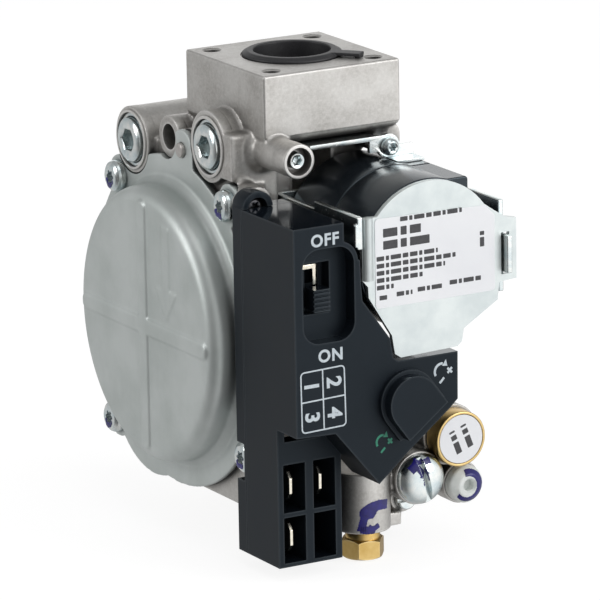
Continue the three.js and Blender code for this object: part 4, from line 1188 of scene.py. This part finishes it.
def frame_stroke(name, outline, width):
    """A closed printed line along an outline in (x, z)."""
    inner, top = inset(outline, width), FACE - PRINT_HIGH
    levels = [(outline, FACE), (outline, top), (inner, top), (inner, FACE)]
    return loft(name, [[(u, h, v) for u, v in line] for line, h in levels], closed=True)


def stroke(name, a, b, width, high):
    """A straight printed line from a to b in (x, z)."""
    a, b = Vector(a), Vector(b)
    side = Vector((-(b - a).y, (b - a).x)).normalized() * width / 2
    outline = [tuple(a - side), tuple(b - side), tuple(b + side), tuple(a + side)]
    return prism(name, "y", outline, FACE - high, FACE)


def terminal_chart():
    """Four rounded cells, numbered, above the terminals."""
    corners = [(-24.55, -72.8), (-13.35, -72.5), (-13.6, -58.8), (-24.7, -59.1)]
    width = 0.32
    parts = [frame_stroke("chart", soften(corners, 1.0, 5), width)]
    parts.append(stroke("chart", (-24.5, -65.9), (-13.6, -65.6), width, PRINT_HIGH - 0.005))
    parts.append(stroke("chart", (-19.15, -59.1), (-18.95, -72.6), width, PRINT_HIGH - 0.010))
    cells = ((-21.9, -62.5), (-16.3, -62.3), (-21.8, -69.4), (-16.2, -69.1))
    parts += [letters("chart", str(number), at, 3.7, -90) for number, at in enumerate(cells, 1)]
    return join("terminal_chart", parts)


def plus_outline(x, z, arm, half):
    corner = [(half, half), (arm, half), (arm, -half)]
    points = []
    for quarter in range(4):
        spin = Matrix.Rotation(math.radians(-90 * quarter), 2)
        points += [tuple(Vector((x, z)) + spin @ Vector(point)) for point in corner]
    return points


def turn_mark(name, at, turn, size):
    """An arched arrow over a minus and a plus, as an adjuster has. It is four sizes wide."""
    tilt = Matrix.Rotation(math.radians(turn), 2)
    arch = arc(0, 0, 2.1, 165, 35, 20) + arc(0, 0, 1.5, 35, 165, 20)
    head = [(2.75, 1.05), (1.0, 0.75), (1.85, -0.35)]
    arm, half, x, y = 0.85, 0.28, 1.5, -1.6
    minus = [(-x - arm, y - half), (-x + arm, y - half), (-x + arm, y + half), (-x - arm, y + half)]
    parts = []
    for index, outline in enumerate((arch, head, minus, plus_outline(x, y, arm, half))):
        placed = [tuple(Vector(at) + tilt @ (Vector(point) * size)) for point in outline]
        parts.append(prism(name, "y", placed, FACE - PRINT_HIGH - 0.004 * index, FACE))
    return join(name, parts)


def printing():
    white = [
        letters("print", "OFF", (-18.0, -30.6), 2.8),
        letters("print", "ON", (-17.1, -56.2), 2.85),
        terminal_chart(),
        turn_mark("print", (10.7, -64.0), 45, 0.95),
    ]
    piece(join("cover_printing", white), "white_print")
    piece(turn_mark("pilot_mark", (-4.4, -77.6), 45, 0.85), "green_paint")


# A film of paint: how far it stands proud and reaches in, its cells, the widest step it follows.
PAINT = {"high": 0.07, "sunk": 0.05, "cell": 0.12, "step": 0.9}


def paint_points(target, axis, outline):
    """Outer and inner points of the paint on a grid across an axis: {(column, row): pair}."""
    tree = BVHTree.FromObject(target, bpy.context.evaluated_depsgraph_get())
    low = [min(point[k] for point in outline) for k in (0, 1)]
    high = [max(point[k] for point in outline) for k in (0, 1)]
    columns, rows = (int((high[k] - low[k]) / PAINT["cell"]) + 2 for k in (0, 1))
    way = Vector(spot(axis, 0, 0, 1))
    points = {}
    for i in range(columns):
        for j in range(rows):
            u, v = low[0] + i * PAINT["cell"], low[1] + j * PAINT["cell"]
            if not inside(u, v, outline):
                continue
            hit, normal, _, _ = tree.ray_cast(Vector(spot(axis, u, v, -80)) * MM + ORIGIN, way)
            if hit is not None:
                pair = hit + normal * PAINT["high"] * MM, hit - normal * PAINT["sunk"] * MM
                points[i, j] = [(point - ORIGIN) / MM for point in pair]
    return points


def dab(name, target, axis, outline):
    """A film of paint that follows the target's surface inside an outline across an axis."""
    points = paint_points(target, axis, outline)
    index = {cell: k for k, cell in enumerate(points)}
    outer, inner = ([pair[k] for pair in points.values()] for k in (0, 1))
    count = len(outer)
    faces = []
    edges = {}
    for i, j in index:
        square = [(i, j), (i + 1, j), (i + 1, j + 1), (i, j + 1)]
        if not all(corner in index for corner in square):
            continue
        ids = [index[corner] for corner in square]
        places = [outer[k] for k in ids]
        if max((a - b).length for a in places for b in places) > PAINT["step"]:
            continue
        faces += [ids, [k + count for k in reversed(ids)]]
        edges.update({edge: True for edge in zip(ids, ids[1:] + ids[:1])})
    faces += [[b, a, a + count, b + count] for a, b in edges if (b, a) not in edges]
    mesh = bpy.data.meshes.new(name)
    mesh.from_pydata(outer + inner, [], faces)
    with editing(mesh) as bm:
        bmesh.ops.delete(bm, geom=[v for v in bm.verts if not v.link_faces], context="VERTS")
        bmesh.ops.recalc_face_normals(bm, faces=bm.faces)
    return piece(linked(name, mesh), "blue_paint", body=body_of(target)[0])


def inside(u, v, outline):
    odd = False
    count = len(outline)
    for i in range(count):
        (u0, v0), (u1, v1) = outline[i], outline[(i + 1) % count]
        if (v0 > v) != (v1 > v) and u < (u1 - u0) * (v - v0) / (v1 - v0) + u0:
            odd = not odd
    return odd


def blob(u, v, radius, lumps, turn=0.0, flat=1.0):
    """An uneven round patch."""
    points = []
    for k in range(40):
        angle = 2 * math.pi * k / 40
        reach = radius * (1 + 0.16 * math.sin(lumps * angle + turn) + 0.09 * math.sin((lumps + 2) * angle))
        points.append((u + reach * math.cos(angle), v + flat * reach * math.sin(angle)))
    return points


def brush(points, width):
    """An uneven brush stroke along a few points."""
    path = soften(points, 3, 8, closed=False)
    left, right = [], []
    for i, point in enumerate(path):
        here = Vector(point)
        ahead = Vector(path[min(i + 1, len(path) - 1)]) - Vector(path[max(i - 1, 0)])
        side = Vector((-ahead.y, ahead.x)).normalized()
        share = i / (len(path) - 1)
        half = width / 2 * (0.75 + 0.3 * math.sin(3 + 9 * share) * share + 0.25 * math.sin(math.pi * share))
        left.append(tuple(here + side * half))
        right.append(tuple(here - side * half))
    return left + right[::-1]


# ---- build


def dress_hidden():
    """Materials for the CAD nodes that keep their own shape."""
    for part in frame["record"]["subparts"]:
        mesh = frame["nodes"][part["node"]].data
        mesh.materials.clear()
        mesh.materials.append(LOOKS[part["material_slot"]])
        for face in mesh.polygons:
            face.use_smooth = False


def paint_dabs(casting, screws, cap, plug):
    for screw, node in zip(screws, SCREWS):
        at = middle(node)
        dab(f"{node}_paint", screw, "x", blob(at.y + 0.2, at.z - 1.3, 1.5, 3, at.z, 0.95))
    at = middle("regulator_cap")
    band = [(at.x - 3.7, at.z + 2.6), (at.x - 1.8, at.z + 4.0), (at.x + 1.5, at.z + 4.5)]
    dab("regulator_paint", cap, "y", brush(band, 2.3))
    run = [(at.x - 1.9, at.z + 3.4), (at.x - 0.6, at.z + 1.6), (at.x - 0.2, at.z - 0.9)]
    dab("regulator_paint_run", cap, "y", brush(run, 2.3))
    at = middle("outlet_tap_plug")
    crescent = arc(at.x, at.z, 3.75, 105, -140, 30) + arc(at.x - 0.55, at.z - 0.1, 2.35, -150, 105, 24)
    dab("outlet_plug_paint", plug, "y", crescent)
    at = middle("pilot_nut")
    top = [(at.x + 3.2, -95.4), (at.x - 0.2, -94.9), (at.x - 2.7, -97.3), (at.x - 3.4, -100.9)]
    dab("pilot_boss_paint", casting, "y", brush(top, 3.0))
    foot = [(at.x - 3.6, -100.4), (at.x - 1.4, -100.7), (at.x + 0.6, -99.6)]
    dab("pilot_boss_paint_foot", casting, "y", brush(foot, 2.3))


def build():
    dress_hidden()
    casting = body_casting()
    cover_pressing()
    screws = cover_screws()
    for side in ("left", "right"):
        pipe_plug(side)
    locating_pin()
    inlet_seal()
    coil_shells()
    coil_metalwork()
    label()
    switch_parts()
    blades()
    cap = regulator_cap()
    gas_cap()
    plug = outlet_plug()
    slotted_screw()
    tap_screw()
    brass_nut()
    springs()
    printing()
    paint_dabs(casting, screws, cap, plug)


# ---- studio


FLOOR_SHADE = 0.22  # how strongly the camera sees the soft shadow
FLOOR_GLOW = 0.86  # lifts the floor to white


def floor():
    """A pale floor, near white to the camera with a faint shadow, and clear from below."""
    mesh = bpy.data.meshes.new("studio_floor")
    half = 4.0
    corners = [(-half, -half, 0), (half, -half, 0), (half, half, 0), (-half, half, 0)]
    mesh.from_pydata(corners, [], [(0, 1, 2, 3)])
    obj = linked("studio_floor", mesh)
    obj.location.z = -0.0004
    obj.visible_glossy = False
    look = Look("studio_floor")
    real = look.add("ShaderNodeBsdfPrincipled", Base_Color=(0.80, 0.80, 0.80), Roughness=0.9)
    pale = look.add("ShaderNodeBsdfDiffuse", Color=(FLOOR_SHADE,) * 3)
    glow = look.add("ShaderNodeEmission", Strength=FLOOR_GLOW)
    seen = look.add("ShaderNodeAddShader", pale.outputs[0], glow.outputs[0])
    ray = look.add("ShaderNodeLightPath").outputs["Is Camera Ray"]
    mixed = look.add("ShaderNodeMixShader", ray, real.outputs[0], seen.outputs[0])
    clear = look.add("ShaderNodeBsdfTransparent")
    below = look.add("ShaderNodeNewGeometry").outputs["Backfacing"]
    sided = look.add("ShaderNodeMixShader", below, mixed.outputs[0], clear.outputs[0])
    look.add("ShaderNodeOutputMaterial", sided.outputs[0])
    mesh.materials.append(look.material)


# Where the studio is brighter or darker than its base: direction, from, to (cosines), change.
SKY_BASE = 0.40
SKY_LOBES = (
    ((0.50, -0.86, -0.10), 0.20, 0.98, 0.84),
    ((-0.48, 0.84, -0.25), 0.60, 0.98, 0.16),
    ((-0.82, -0.50, -0.20), 0.55, 0.95, -0.26),
    ((0.0, 0.5, -0.9), 0.30, 0.95, 0.10),
    ((0.48, 0.84, 0.24), 0.90, 0.985, 0.85),
)


def sky():
    """White to the camera. In reflections it is bright in front on the right and darker elsewhere."""
    world = bpy.data.worlds.new("studio")
    bpy.context.scene.world = world
    world.use_nodes = True
    world.node_tree.nodes.clear()

    def add(kind, *values, **settings):
        return add_node(world.node_tree, kind, *values, settings=settings).outputs

    place = add("ShaderNodeTexCoord")["Generated"]
    total = SKY_BASE
    for direction, start, end, change in SKY_LOBES:
        aim = tuple(Vector(direction).normalized())
        toward = add("ShaderNodeVectorMath", place, aim, operation="DOT_PRODUCT")["Value"]
        share = add("ShaderNodeMapRange", toward, start, end, 0.0, change, interpolation_type="SMOOTHSTEP")
        total = add("ShaderNodeMath", share[0], total)[0]
    lit, seen = (add("ShaderNodeBackground", (1, 1, 1), strength)[0] for strength in (total, 1.0))
    ray = add("ShaderNodeLightPath")["Is Camera Ray"]
    add("ShaderNodeOutputWorld", add("ShaderNodeMixShader", ray, lit, seen)[0])


def area_light(name, place, aim, width, height, power):
    data = bpy.data.lights.new(name, "AREA")
    data.shape = "RECTANGLE"
    data.size = width
    data.size_y = height
    data.energy = power
    obj = linked(name, data)
    obj.location = place
    obj.rotation_euler = (Vector(aim) - Vector(place)).to_track_quat("-Z", "Y").to_euler()


def lights():
    heart = (0, 0, 0.055)
    area_light("key", (0.55, -0.85, 0.45), heart, 0.6, 0.6, 3.6)
    area_light("left_strip", (-0.95, 0.25, 0.42), heart, 0.25, 0.5, 2.6)
    area_light("top_fill", (-0.1, -0.35, 0.95), heart, 0.5, 0.5, 1.2)


def camera():
    """The viewpoint: 30 degrees to the left and 14.5 above the horizon."""
    data = bpy.data.cameras.new("camera")
    data.sensor_width = 36
    data.lens = 349.9
    data.clip_end = 20
    obj = linked("camera", data)
    azimuth, elevation, roll = (math.radians(angle) for angle in (-29.794, 14.531, -1.029))
    level = math.cos(elevation)
    ahead = Vector((-math.sin(azimuth) * level, math.cos(azimuth) * level, -math.sin(elevation)))
    obj.location = ORIGIN + Vector((-623.0, -1089.7, 269.3)) * MM
    obj.rotation_mode = "QUATERNION"
    obj.rotation_quaternion = ahead.to_track_quat("-Z", "Y") @ Matrix.Rotation(roll, 3, "Z").to_quaternion()
    bpy.context.scene.camera = obj


build()
floor()
sky()
lights()
camera()
bpy.context.scene.view_settings.view_transform = "Standard"
